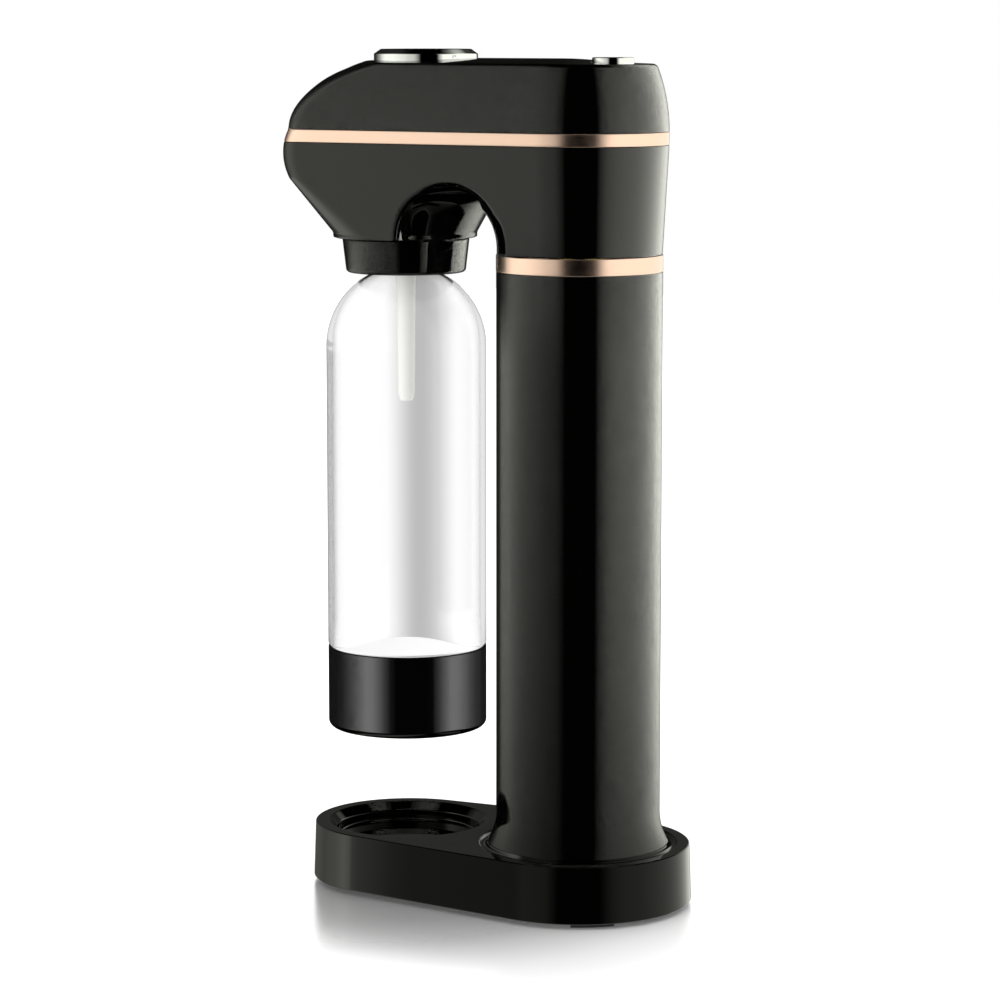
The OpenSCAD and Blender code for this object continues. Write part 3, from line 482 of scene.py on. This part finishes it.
def rounded(corners):
    """Section line through corners (radius, height, fillet), with close points by each corner."""
    line = []
    for k, (r, z, fillet) in enumerate(corners):
        here = Vector((r, z))
        if fillet == 0 or k in (0, len(corners) - 1):
            line.append((r, z, 0))
            continue
        back = (Vector(corners[k - 1][:2]) - here).normalized()
        ahead = (Vector(corners[k + 1][:2]) - here).normalized()
        half = math.acos(max(-1, min(1, back.dot(ahead)))) / 2
        run = fillet / math.tan(half)
        centre = here + (back + ahead).normalized() * fillet / math.sin(half)
        first, last = here + back * run - centre, here + ahead * run - centre
        turn = math.atan2(first.x * last.y - first.y * last.x, first.dot(last))
        steps = max(3, round(abs(turn) / math.radians(11)))
        for i in range(steps + 1):
            a = turn * i / steps
            spot = centre + Vector((first.x * math.cos(a) - first.y * math.sin(a),
                                    first.x * math.sin(a) + first.y * math.cos(a)))
            line.append((spot.x, spot.y, 1))
    full = [line[0]]
    for a, b in zip(line, line[1:]):
        gap = math.hypot(b[0] - a[0], b[1] - a[1])
        if gap > 1.5:
            for share in (0.25 / gap, 1 - 0.25 / gap):
                full.append((a[0] + (b[0] - a[0]) * share, a[1] + (b[1] - a[1]) * share, 0))
        full.append(b)
    return [(r, z) for r, z, _ in full]


def turned(line, ahead, steps=160):
    """Points and faces of a section line spun about the axis that far ahead of the column."""
    points, faces = [], []
    for r, z in line:
        for i in range(steps):
            a = 2 * math.pi * i / steps
            points.append((r * math.sin(a), column_y - ahead + r * math.cos(a), z))
    for k in range(len(line) - 1):
        for i in range(steps):
            j = (i + 1) % steps
            faces.append((k * steps + i, k * steps + j, (k + 1) * steps + j, (k + 1) * steps + i))
    return points, faces


def lobe_ring(rear, front, z, steps=96):
    """Closed ring of points round both lobes at one height."""
    lean = math.asin((front - rear) / reach)
    ring = []

    def run_between(a, b):
        for i in range(1, 24):
            t = i / 24
            ring.append((a[0] + (b[0] - a[0]) * t, a[1] + (b[1] - a[1]) * t, z))

    for i in range(steps + 1):
        a = lean + (math.pi - 2 * lean) * i / steps
        ring.append((rear * math.cos(a), column_y + rear * math.sin(a), z))
    turn = math.pi - lean
    run_between(ring[steps], (front * math.cos(turn), column_y - reach + front * math.sin(turn)))
    for i in range(steps + 1):
        a = math.pi - lean + (math.pi + 2 * lean) * i / steps
        ring.append((front * math.cos(a), column_y - reach + front * math.sin(a), z))
    run_between((front * math.cos(lean), column_y - reach + front * math.sin(lean)), ring[0])
    return ring


def strip(rings):
    """Points and faces between closed rings that hold the same number of points."""
    count = len(rings[0])
    points = [p for ring in rings for p in ring]
    faces = []
    for k in range(len(rings) - 1):
        low, high = k * count, (k + 1) * count
        faces += [(low + i, low + (i + 1) % count, high + (i + 1) % count, high + i) for i in range(count)]
    return points, faces


def deck_between(outer, holes):
    """Level triangles between an outer ring and the rings of its holes."""
    shape = bmesh.new()
    for ring in [outer] + holes:
        spots = [shape.verts.new(p) for p in ring]
        for a, b in zip(spots, spots[1:] + spots[:1]):
            shape.edges.new((a, b))
    bmesh.ops.triangle_fill(shape, use_beauty=True, use_dissolve=False, edges=shape.edges)
    shape.verts.index_update()
    points = [tuple(v.co) for v in shape.verts]
    faces = [tuple(v.index for v in f.verts) for f in shape.faces]
    shape.free()
    return points, faces


def joined(*parts):
    """Points and faces of several meshes as one."""
    points, faces = [], []
    for some, skins in parts:
        faces += [tuple(i + len(points) for i in face) for face in skins]
        points += some
    return points, faces


base_section = rounded([(-base_skin, 5.6, 0), (-base_skin, base_low, 0), (1.0, base_low, 0.6),
                        (0.0, base_top, 0.7), (-base_skin, base_top, 0)])
base_wall = strip([lobe_ring(rear_r + grow, front_r + grow, z) for grow, z in base_section])
dish_section = rounded([(42.0, base_top, 0), (dish_r, base_top, 0.9), (36.6, 27.0, 1.2),
                        (36.4, dish_floor, 1.4), (0.01, dish_floor, 0)])
moat = [(moat_at - moat_r * math.cos(a * math.pi / 16), base_top - moat_r * math.sin(a * math.pi / 16))
        for a in range(16)]
groove = [(38.0, seat_z), (column_foot_r, seat_z), (column_foot_r, 31.3)] + moat
groove += [(49.74, 30.86), (50.0, 30.97), (50.4, base_top)]
base_deck = deck_between(
    lobe_ring(rear_r - base_skin, front_r - base_skin, base_top),
    [turned([dish_section[0]], reach)[0], turned([groove[-1]], 0)[0]])
base_parts = joined(base_wall, base_deck, turned(dish_section, reach), turned(groove, 0))
base = add_piece("base_moulding", *base_parts, gloss_black, machine, "gloss_black", "base_housing")
lit_by(base, base_cloth, cloth_roof, cloth_mat)

# Column: an extruded tube in the same black, turned out to a flared foot. It stands on the
# seat of the base and hides the gas cylinder. Its lower length isn't mirrored by the cup beside it.
column_r, column_top = 41.0, 317.3
foot_top, low_top, foot_bend = 47.4, 140.0, 30.0
column_steps = 192
column_line = rounded([(column_r, low_top, 0), (column_r, column_top, 0.5), (37.2, column_top, 0)])
add_piece("column", *turned(column_line, 0, column_steps), gloss_black, machine, "gloss_black", "column_tube")
low_line = [(column_r, foot_top), (column_r, 90.0), (column_r, low_top)]
column_low = add_piece("column_low", *turned(low_line, 0, column_steps), gloss_black, machine, "gloss_black")
column_low.visible_glossy = False
foot_line = [(38.0, 32.05), (45.0, 32.05), (45.2, 32.05)]
for a in np.radians(np.linspace(30.9, 0, 28)):
    foot_line.append((column_r + foot_bend - foot_bend * math.cos(a), foot_top - foot_bend * math.sin(a)))
column_foot = add_piece("column_foot", *turned(foot_line, 0, column_steps), gloss_black, machine, "gloss_black")
lit_by(column_foot, foot_cloth, cloth_roof, cloth_mat)

# Trim ring: rolled metal with a polished rose gold plating, clamped between column and head. The
# pieces beside it don't mirror it.
rose_gold = finish_for("rose_gold", (0.985, 0.70, 0.575), 80, 0.18, 0.26, 0.03, Metallic=1.0)
ring_line = rounded([(38.5, 317.35, 0), (41.1, 317.35, 0.35), (41.1, 325.5, 0.35), (38.5, 325.5, 0)])
trim_ring = add_piece("trim_ring", *turned(ring_line, 0, column_steps), rose_gold, machine, "rose_gold",
                      "column_ring")
trim_ring.visible_glossy = False

# Plan of the head: at each height it is the outline round a rear circle, two nose corners and
# a shallow bow between them. Below the nose the corners run together into the round chin.
chin_z, ring_top, band_z, band_top, edge_z = 331.1, 325.6, 379.1, 385.4, 418.6
head_r, ring_r, chin_r = 43.7, 40.7, 36.0
nose_front, nose_low, chin_full = 152.9, 360.6, 333.6
chin_s, chin_wide = 96.0, 40.0
tip_r, tip_z = 24.0, 372.8
barrel_r, nose_setback, nose_taper = 88.0, 27.0, 2.0
nose_corner, top_corner = 14.0, 31.0
nose_bow, bow_r = 2.0, 26.0
station_kind = np.array([0] * 22 + [1] * 19 + [2] * 14 + [3] * 4 + [4] * 8)
station_share = np.concatenate([
    np.linspace(0, 1, 22), np.arange(1, 20) / 20, np.linspace(0, 1, 14), np.arange(1, 5) / 5,
    np.linspace(0, 1, 8)])


def plan_circles(z):
    """Rear radius, place and radius of the nose corner, place and radius of the bow, at each height."""
    rise = np.clip(z - band_top, 0, edge_z - band_top)
    share = rise / (edge_z - band_top)
    side = np.where(z < band_z, (head_r - ring_r) * (band_z - z) / (band_z - ring_top),
                    barrel_r - np.sqrt(barrel_r ** 2 - rise ** 2))
    level = np.clip(z, nose_low, band_top)
    front = nose_front - tip_r + np.sqrt(tip_r ** 2 - (level - tip_z) ** 2) - nose_setback * share ** 2
    corner = nose_corner + (top_corner - nose_corner) * share ** 2
    lowest = (head_r - ring_r) * (band_z - nose_low) / (band_z - ring_top)
    half = head_r - nose_taper - np.where(z < nose_low, lowest, side)
    bow = np.minimum(bow_r, half - 6.0)
    down = np.clip((nose_low - z) / (nose_low - chin_full), 0, 1)
    up = 1 - down
    return (head_r - side,
            up * (half - corner), up * (front - corner) + down * chin_s, up * corner + down * chin_wide,
            up * (front + nose_bow - bow) + down * (chin_s + 0.05), up * bow + down * chin_wide)


def straight_run(ax, ay, ar, bx, by, br):
    """Outward normal of the straight run that touches circle a and then circle b, and its length."""
    dx, dy = bx - ax, by - ay
    far = np.hypot(dx, dy)
    k = np.clip((ar - br) / far, -1, 1)
    w = np.sqrt(1 - k * k)
    return (k * dx + w * dy) / far, (k * dy - w * dx) / far, w * far


def plan_distance(x, s, z):
    """Distance outside the outline at height z, below zero inside it."""
    ax = np.abs(x)
    rear, cx, cs, cr, bs, br = plan_circles(z)
    zero = np.zeros_like(rear)
    nx, ns, side_run = straight_run(zero, zero, rear, cx, cs, cr)
    fx, fs, front_run = straight_run(cx, cs, cr, zero, bs, br)
    along_side = -(ax - rear * nx) * ns + (s - rear * ns) * nx
    along_front = -(ax - cx - cr * fx) * fs + (s - cs - cr * fs) * fx
    return np.where(
        along_side < 0, np.hypot(ax, s) - rear, np.where(
            along_side <= side_run, ax * nx + s * ns - rear, np.where(
                along_front < 0, np.hypot(ax - cx, s - cs) - cr, np.where(
                    along_front <= front_run, (ax - cx) * fx + (s - cs) * fs - cr,
                    np.hypot(ax, s - bs) - br))))


def half_outline(z, grow=0.0):
    """Points x and s of the outline on one side, s ahead of the column, from the back to the nose."""
    z = np.broadcast_to(np.asarray(z, float), station_kind.shape)
    rear, cx, cs, cr, bs, br = plan_circles(z)
    zero = np.zeros_like(rear)
    ax, ay, _ = straight_run(zero, zero, rear, cx, cs, cr)
    fx, fy, _ = straight_run(cx, cs, cr, zero, bs, br)
    first, second = np.arctan2(ax, -ay), np.arctan2(fx, -fy)
    t = station_share
    kinds = [station_kind == k for k in range(5)]
    angle = np.select(kinds, [first * t, first, first + (second - first) * t, second,
                              second + (math.pi - second) * t])
    x0 = np.select(kinds, [zero, cx * t, cx, cx * (1 - t), zero])
    s0 = np.select(kinds, [zero, cs * t, cs, cs + (bs - cs) * t, bs])
    r0 = np.select(kinds, [rear, rear + (cr - rear) * t, cr, cr + (br - cr) * t, br]) + grow
    return x0 + r0 * np.sin(angle), s0 - r0 * np.cos(angle)


def head_ring(z, grow=0.0):
    """Closed ring round the head. z is one height, or one for each point from back to nose."""
    x, s = half_outline(z, grow)
    z = np.broadcast_to(np.asarray(z, float), x.shape)
    right = list(zip(x, column_y - s, z))
    return right + [(-a, b, c) for a, b, c in right[-2:0:-1]]


# Metal band: the same rose gold round the whole head. Its upper edge sweeps up over the nose, in
# a round that the cover's lower edge follows.
sweep_r, sweep_run = 24.0, 23.9


def sweep_fall(s):
    """Height of the sweep's centre above its edge, that far ahead of the column."""
    run = np.clip(s - (nose_front - nose_corner), 0, sweep_run)
    return np.sqrt(sweep_r ** 2 - run ** 2)


def band_edge():
    z = np.full(station_kind.shape, band_top)
    for _ in range(6):
        z = band_top + sweep_r - sweep_fall(half_outline(z)[1])
    return z


upper_edge = band_edge()
band_rows = [(0.0, -1.5), (0.0, -0.2), (0.02, -0.02), (0.05, 0.05), (0.25, 0.06), (0.5, 0.06), (0.75, 0.06),
             (0.95, 0.05), (0.98, -0.02), (1.0, -0.2), (1.0, -1.5)]
band_rings = [head_ring(band_z + 0.05 + (upper_edge - band_z - 0.1) * t, grow) for t, grow in band_rows]
add_piece("metal_band", *strip(band_rings), rose_gold, machine, "rose_gold", "head_band")

# Cover: the upper shell of the head in polished black, barrelled at the sides, sloped at the
# nose and gently domed on top, with a round hole for each button.
rim_z = edge_z - 1.3
button_at, vent_at = 87.9, -18.2
button_hole_r, vent_hole_r, hole_edge = 26.4, 10.5, 0.8
dome_run, dome_rise = 40, 2.5
skin_low, skin_high, skin_step = (-45.6, -45.6), (45.6, 156.9), 0.8


def soft_max(a, b, k):
    """The greater of two depths, blended where they differ by less than k."""
    h = np.maximum(k - np.abs(a - b), 0)
    return np.maximum(a, b) + h * h / (4 * k)


def soft_min(a, b, k):
    return -soft_max(-a, -b, k)


def crown_height(x, s):
    """Height of the top, a dome that fades out towards the rear."""
    inset = np.clip(-plan_distance(x, s, np.full(np.shape(x), rim_z)), 0, dome_run)
    fade = np.clip((s + 26) / 36, 0, 1)
    fade = fade * fade * (3 - 2 * fade)
    return rim_z + 1.0 + dome_rise * (1 - ((dome_run - inset) / dome_run) ** 2) * fade


def cover_depth(x, s, z):
    """Height above the skin of the cover, below zero inside it."""
    shoulder = np.interp(s, (96, 122), (2.2, 10.5))
    skin = soft_max(plan_distance(x, s, z), z - crown_height(x, s), shoulder)
    skin = soft_max(skin, button_hole_r - np.hypot(x, s - button_at), hole_edge)
    skin = soft_max(skin, vent_hole_r - np.hypot(x, s - vent_at), hole_edge)
    return soft_max(skin, band_top + (sweep_r + 0.05) - sweep_fall(s) - z, 0.5)


def skin_mesh(depth, low, high, step):
    """Closed quads on the zero level of a depth function, drawn on to it, with its exact normals."""
    axes = [np.arange(a, b + step, step) for a, b in zip(low, high)]
    field = depth(*np.meshgrid(*axes, indexing="ij"))
    inside = field < 0
    total = np.zeros([n - 1 for n in field.shape] + [3])
    count = np.zeros([n - 1 for n in field.shape])
    corners = [(i, j, k) for i in (0, 1) for j in (0, 1) for k in (0, 1)]
    cut = [slice(0, -1), slice(1, None)]
    for a in corners:
        for axis in range(3):
            if a[axis]:
                continue
            b = tuple(1 if n == axis else v for n, v in enumerate(a))
            fa, fb = field[tuple(cut[v] for v in a)], field[tuple(cut[v] for v in b)]
            cross = (fa < 0) != (fb < 0)
            share = np.where(cross, fa / np.where(fa == fb, 1, fa - fb), 0)
            for n in range(3):
                total[..., n] += np.where(cross, a[n] + (share if n == axis else 0), 0)
            count += cross
    used = count > 0
    number = np.full(used.shape, -1)
    number[used] = np.arange(used.sum())
    cells = np.argwhere(used)
    points = np.array(low) + step * (cells + total[used] / count[used][:, None])
    faces = []
    for axis in range(3):
        p, q = [n for n in range(3) if n != axis]
        a = [slice(None)] * 3
        a[axis] = slice(0, -1)
        b = list(a)
        b[axis] = slice(1, None)
        for at in np.argwhere(inside[tuple(a)] != inside[tuple(b)]):
            if at[p] == 0 or at[q] == 0:
                continue
            quad = []
            for dp, dq in ((1, 1), (0, 1), (0, 0), (1, 0)):
                cell = at.copy()
                cell[p] -= dp
                cell[q] -= dq
                quad.append(int(number[tuple(cell)]))
            faces.append(quad if min(quad) >= 0 else None)
    tiny = 0.02

    def slope(p):
        grad = [(depth(*(p + d).T) - depth(*(p - d).T)) / (2 * tiny) for d in np.eye(3) * tiny]
        return np.stack(grad, 1)

    for _ in range(4):
        grad = slope(points)
        points -= (depth(*points.T) / np.maximum((grad ** 2).sum(1), 0.05))[:, None] * grad
    normals = slope(points)
    return points, [f for f in faces if f], normals / np.linalg.norm(normals, axis=1)[:, None]


def add_skin(name, depth, low, high, material, body, slot_name, *stands_for, open_above=1000.0):
    """Piece on the zero level of a depth function between two heights, with no lid above open_above."""
    points, faces, normals = skin_mesh(depth, (*skin_low, low), (*skin_high, high), skin_step)
    lid = (points[:, 2] > open_above) & (plan_distance(*points.T) < -1.5)
    faces = [face for face in faces if not lid[face].all()]
    points[:, 1] = column_y - points[:, 1]
    normals[:, 1] *= -1
    piece = add_piece(name, points.tolist(), faces, material, body, slot_name, *stands_for)
    piece.data.normals_split_custom_set_from_vertices(normals.tolist())
    return piece


cover = add_skin("cover_shell", cover_depth, 383.9, 422.4,
                 gloss_black, machine, "gloss_black", "head_cover")
lit_by(cover, cloth_wall, cloth_lining, cloth_mat)

# Lower shell: the same black, with a vaulted arch moulded through it between the chin that
# carries the bottle and the neck over the column. Every edge of the moulding is softly rounded.
arch_s, arch_r, arch_z = reach / 2, 31.0, 330.1
flare_r, cone_rise, lean = 30.0, 10.5, math.atan(0.55)


def under_vault(r, z):
    """Radius of a trunk, held inside the edge of the vault."""
    leg = arch_s - np.sqrt(np.maximum(arch_r ** 2 - np.maximum(z - arch_z, 0) ** 2, 0))
    return np.minimum(r, np.hypot(41.2, leg))


def neck_radius(z):
    """A round neck that turns out into the vault."""
    rise = np.clip(z - chin_z + 3.0, 0, flare_r)
    return under_vault(ring_r + flare_r - np.sqrt(flare_r ** 2 - rise ** 2), z)


def chin_radius(z):
    """A cone that turns out into the vault from half way up."""
    rise = np.maximum(z - chin_full, 0)
    turn = np.clip(math.sin(lean) + (rise - cone_rise) / flare_r, math.sin(lean), 1)
    cone = chin_r + math.tan(lean) * np.minimum(rise, cone_rise)
    return under_vault(cone + flare_r * (math.cos(lean) - np.sqrt(1 - turn ** 2)), z)


def shell_depth(x, s, z):
    """Height above the skin of the lower shell, below zero inside it."""
    bulk = plan_distance(x, s, z)
    vault = np.where(z > arch_z, np.hypot(s - arch_s, z - arch_z), np.abs(s - arch_s)) - arch_r
    neck = np.hypot(x, s) - neck_radius(z)
    chin = np.hypot(x, s - reach) - chin_radius(z)
    walls = soft_min(soft_min(-vault, neck, 4.0), chin, 5.0)
    skin = soft_max(bulk, walls, np.interp(s, (46, 78), (1.4, 3.5)))
    skin = soft_max(skin, np.minimum(chin_z - z, s - arch_s), 1.0)
    skin = soft_max(skin, ring_top + 0.1 - z, 0.6)
    return soft_max(skin, z - band_z + 0.02, 0.5)


arched_shell = add_skin("arched_shell", shell_depth, 323.9, 380.4,
                        gloss_black, machine, "gloss_black", "head_lower_shell", open_above=band_z - 0.3)
lit_by(arched_shell, shell_cloth)

# Carbonation button: a heavy chrome-plated cap with a wide chamfer, which slides in the cover. Its
# round face is a piece of its own, so that the roof shines on the face alone.
chrome = finish_for("chrome", (0.86, 0.87, 0.88), 90, 0.04, 0.08, 0.02, Metallic=1.0)
button_r, button_low, button_top, face_r = 26.0, 408.1, 425.1, 22.0
button_line = rounded([(23.5, button_low, 0), (button_r, button_low, 0.3), (button_r, 422.7, 0.5),
                       (22.6, button_top, 0.5), (face_r, button_top, 0)])
button_cap = add_piece("button_cap", *turned(button_line, button_at), chrome, "button", "chrome",
                       "carbonation_button")
lit_by(button_cap, cloth_wall)
face_line = [(face_r, button_top), (21.7, button_top), (0.01, button_top)]
add_piece("button_face", *turned(face_line, button_at), chrome, "button", "chrome")

# Vent button: a small chrome-plated cap behind the big one, which lets the gas out. Its face is
# a piece of its own, too.
vent_r, vent_low, vent_top, vent_face_r = 10.2, 409.1, 421.4, 9.4
vent_line = rounded([(8.6, vent_low, 0), (vent_r, vent_low, 0.2), (vent_r, vent_top, 0.6),
                     (vent_face_r, vent_top, 0)])
vent_cap = add_piece("vent_cap", *turned(vent_line, vent_at, 96), chrome, "vent", "chrome", "vent_button")
lit_by(vent_cap, cloth_wall)
vent_face_line = [(vent_face_r, vent_top), (9.2, vent_top), (0.01, vent_top)]
add_piece("vent_face", *turned(vent_face_line, vent_at, 96), chrome, "vent", "chrome")

# Collar: a tapered black socket under the chin that takes the neck of the bottle. Its upper end is
# a narrower spigot inside the shell.
collar_low, collar_top, spigot_top = 313.4, 330.5, 342.2
bore_r, spigot_r = 18.4, 26.7
collar_line = rounded([(bore_r, spigot_top, 0), (bore_r, collar_low, 0.5), (30.1, collar_low, 2.0),
                       (32.1, collar_top, 0.6), (spigot_r, collar_top, 0), (spigot_r, spigot_top, 0),
                       (bore_r, spigot_top, 0)])
add_piece("collar", *turned(collar_line, reach), gloss_black, machine, "gloss_black", "bottle_collar")

# Nozzle tube: a tapered tube of milky plastic that brings the gas down into the water. Its faint
# glow is painted light, which stands for the light scattered inside the plastic.
tube_low, tube_bore, tube_r = 248.1, 1.2, 4.95
# Milky plastic with a painted glow: the emission brightens the tube as light would.
milky_painted_glow = finish_for("milky_plastic", (0.97, 0.97, 0.94), 120, 0.3, 0.45, 0.1,
                   Emission_Color=(1, 1, 0.95, 1), Emission_Strength=0.16)
tube_line = rounded([(tube_bore, 320.0, 0), (tube_bore, tube_low, 0.2), (3.2, tube_low, 0.6),
                     (4.1, 251.4, 1.0), (tube_r, collar_low, 2.0), (tube_r, 342.0, 0)])
tube = add_piece("dip_tube", *turned(tube_line, reach, 48), milky_painted_glow, machine, "milky_plastic", "nozzle_tube")
tube.visible_glossy = False

# Bottle: blown clear plastic with a round shoulder, an open neck and a round heel. Its wall is
# drawn thicker than the solid's, so that its edges refract as in the photo.
bottle_r, heel_r, heel_bend = 40.6, 38.5, 30
heel_z, shoulder_z, mouth_z = 82.3, 276, 339.0
clear = bpy.data.materials.new("clear_plastic")
clear.use_nodes = True
clear_shader = clear.node_tree.nodes["Principled BSDF"]
for socket, value in (("Base Color", (0.99, 0.99, 0.99, 1)), ("Transmission Weight", 1.0),
                      ("IOR", 1.36), ("Specular IOR Level", 0.2)):
    clear_shader.inputs[socket].default_value = value
clear_touch = clear.node_tree.nodes.new("ShaderNodeGroup")
clear_touch.node_tree = handled_surface
for socket, value in (("Scale", 30), ("Low", 0.0), ("High", 0.03)):
    clear_touch.inputs[socket].default_value = value
clear.node_tree.links.new(clear_touch.outputs["Roughness"], clear_shader.inputs["Roughness"])


def bottle_line(inset, neck_r):
    """Section of the bottle's skin, from the middle of its heel up to its mouth."""
    thin = 0.4 * inset
    heel = [((heel_r - thin) * math.sin(a), heel_z + thin + (heel_bend - thin) * (1 - math.cos(a)))
            for a in np.linspace(0.0005, math.pi / 2, 20)]
    r, lift = bottle_r - inset, 0.73 * inset
    top = math.asin(neck_r / r)
    shoulder = [(r * math.sin(a), shoulder_z + lift + r * math.cos(a))
                for a in np.linspace(math.pi / 2, top, 26)]
    side = [(heel_r - thin, 121.5 + thin), (39.6 - 0.7 * inset, 122.9 + thin), (r, 124.2 + thin),
            (r, 140), (r, 200), (r, 262)]
    return heel + side + shoulder + [(neck_r, shoulder[-1][1] + 1.0), (neck_r, mouth_z)]


bottle_section = bottle_line(0.0, 16.5) + bottle_line(3.0, 14.9)[::-1]
bottle = add_piece("bottle_shell", *turned(bottle_section, reach), clear, "bottle", "clear_plastic", "bottle")
bottle.visible_glossy = bottle.visible_diffuse = False

# Heel of the bottle: a white lining inside it, from the round bottom up to the rim of the cup, is
# painted light that keeps the heel white. No cloth shines on it, and it glows faintly like the tube.
lining_r, lining_low, lining_bend = 36.9, 84.2, 28.4
# Painted light: a white lining with a faint glow.
heel_painted_light = finish_for("heel_lining_painted_light", (0.97, 0.97, 0.97), 90, 0.45, 0.6, 0.2,
                     Emission_Color=(1, 1, 1, 1), Emission_Strength=0.22)
heel_line = [(lining_r * math.sin(a), lining_low + lining_bend * (1 - math.cos(a)))
             for a in np.linspace(0.0005, math.pi / 2, 16)]
heel_line += [(lining_r, 117.0), (lining_r, 123.2)]
heel = add_piece("bottle_heel", *turned(heel_line, reach, 96), heel_painted_light, "bottle", "clear_plastic")
heel.visible_glossy = False
lit_by(heel)

# Paper round the bottle: a white wall that the bottle alone mirrors, and behind it a card with a
# soft grey stripe that shows only through the bottle. The stripe is painted shade: the grey band
# down the middle of the bottle.
bottle_place = (0, (column_y - reach) / 1000, 0)


def around_value(stops):
    """Level by direction, for glow_material."""
    return lambda tree: around_node(tree, turn_node(tree, where_node(tree)), stops, 8.0)


bottle_paper = round_wall("bottle_paper", bottle_place, 0.42, -0.3, 1.2, around_value(
    [(-180, 0.15), (-160, 0.3), (-140, 0.8), (140, 0.8), (160, 0.3), (180, 0.15)]), paper_tint)
lit_by(bottle, bottle_paper)
card_mesh = bpy.data.meshes.new("grey_card")
card_corners = [(-0.1, 0, -0.1), (0.1, 0, -0.1), (0.1, 0, 0.46), (-0.1, 0, 0.46)]
card_mesh.from_pydata(card_corners, [], [(0, 1, 2, 3)])
card = add_object("grey_card", card_mesh, (-0.1767, -0.1451, 0))
card.rotation_euler = (0, 0, math.atan2(rightward[1], rightward[0]))
card.visible_camera = card.visible_diffuse = card.visible_glossy = card.visible_shadow = False
card_paper = bare_material("grey_paper")
card_paper.cycles.emission_sampling = "NONE"
tree = card_paper.node_tree
card_glow = tree.nodes.new("ShaderNodeEmission")
card_glow.inputs["Strength"].default_value = 1.1
across = dot_node(tree, where_node(tree), (5, 0, 0))
# Painted shade: the stripe's grey levels across the card, in millimetres from its middle.
stripe = [
    (-32, 1.0), (-26.5, 0.97), (-22.6, 0.86), (-18.3, 0.73), (-14, 0.6), (-9.7, 0.49), (-5.3, 0.44),
    (-1, 0.45), (3.3, 0.5), (7.7, 0.58), (12, 0.71), (16.3, 0.82), (21, 0.94), (26, 1.0)]
level = ramp_node(tree, math_node(tree, "ADD", across, 0.5), [(0.5 + mm / 200, v) for mm, v in stripe])
tree.links.new(level, card_glow.inputs["Color"])
show(tree, card_glow)
card_mesh.materials.append(card_paper)

# Bottle cup: a black cup pressed on the heel of the bottle so that it stands. The pieces beside it
# don't mirror it.
cup_r, cup_low, cup_top, cup_bore = 40.5, 80.5, 122.4, 38.9
cup_line = rounded([(0.01, cup_low, 0), (cup_r, cup_low, 3.6), (cup_r, cup_top, 0.5),
                    (cup_bore, cup_top, 0.3), (cup_bore, 112.5, 0)])
cup = add_piece("cup", *turned(cup_line, reach), gloss_black, "bottle", "gloss_black", "bottle_cup")
cup.visible_glossy = False

# Cup lights: a round wall with two soft bright strips, one on each side, which shines on the cup
# alone.
cup_light = round_wall("cup_light", bottle_place, 0.42, -0.1, 0.25, around_value([
    (-157.8, 0.02), (-145.2, 0.02), (-121.3, 0.06), (-104.9, 0.17), (-91.9, 0.53), (-80, 1.17),
    (-68.8, 2.24), (-58.6, 3.54), (-48.9, 3.4), (-39.8, 2.25), (-31, 0.95), (-22.4, 0.16),
    (-13.9, 0.02), (28.1, 0.02), (36.7, 0.07), (45.7, 1.2), (55.4, 3.2), (65.3, 5.2), (76.1, 4.7),
    (87.8, 3), (100.6, 1.4), (115.3, 0.5), (135.5, 0.11), (157.8, 0.02)]), paper_tint)
lit_by(cup, cup_light, cloth_roof, cloth_mat)

# Works and underside: these pieces keep their CAD shapes and get the finish of their slot. No
# piece mirrors them.
plain_black = finish_for("plain_black", (0.018, 0.018, 0.018), 220, 0.45, 0.6, 0.3)
rubber = finish_for("rubber", (0.02, 0.02, 0.02), 160, 0.7, 0.85, 0.4)
steel = finish_for("steel", (0.55, 0.56, 0.57), 140, 0.25, 0.4, 0.15, Metallic=1.0)
brass = finish_for("brass", (0.72, 0.52, 0.20), 140, 0.2, 0.35, 0.12, Metallic=1.0)
aluminium = finish_for("aluminium", (0.70, 0.71, 0.72), 140, 0.28, 0.42, 0.15, Metallic=1.0)
white_plastic = finish_for("white_plastic", (0.80, 0.80, 0.78), 180, 0.4, 0.5, 0.2)
hose_plastic = finish_for("hose_plastic", (0.80, 0.80, 0.77), 180, 0.35, 0.45, 0.2)
finish_of = {"gloss_black": gloss_black, "plain_black": plain_black, "rose_gold": rose_gold, "chrome": chrome,
             "clear_plastic": clear, "milky_plastic": milky_painted_glow, "white_plastic": white_plastic, "rubber": rubber,
             "steel": steel, "brass": brass, "aluminium": aluminium, "hose": hose_plastic}
for entry in frame["record"]["subparts"]:
    solid = frame["nodes"][entry["node"]]
    solid.data.materials.clear()
    solid.data.materials.append(finish_of[entry["material_slot"]])
    lit_by(solid, cloth_wall, cloth_roof, cloth_mat)
    solid.visible_glossy = False
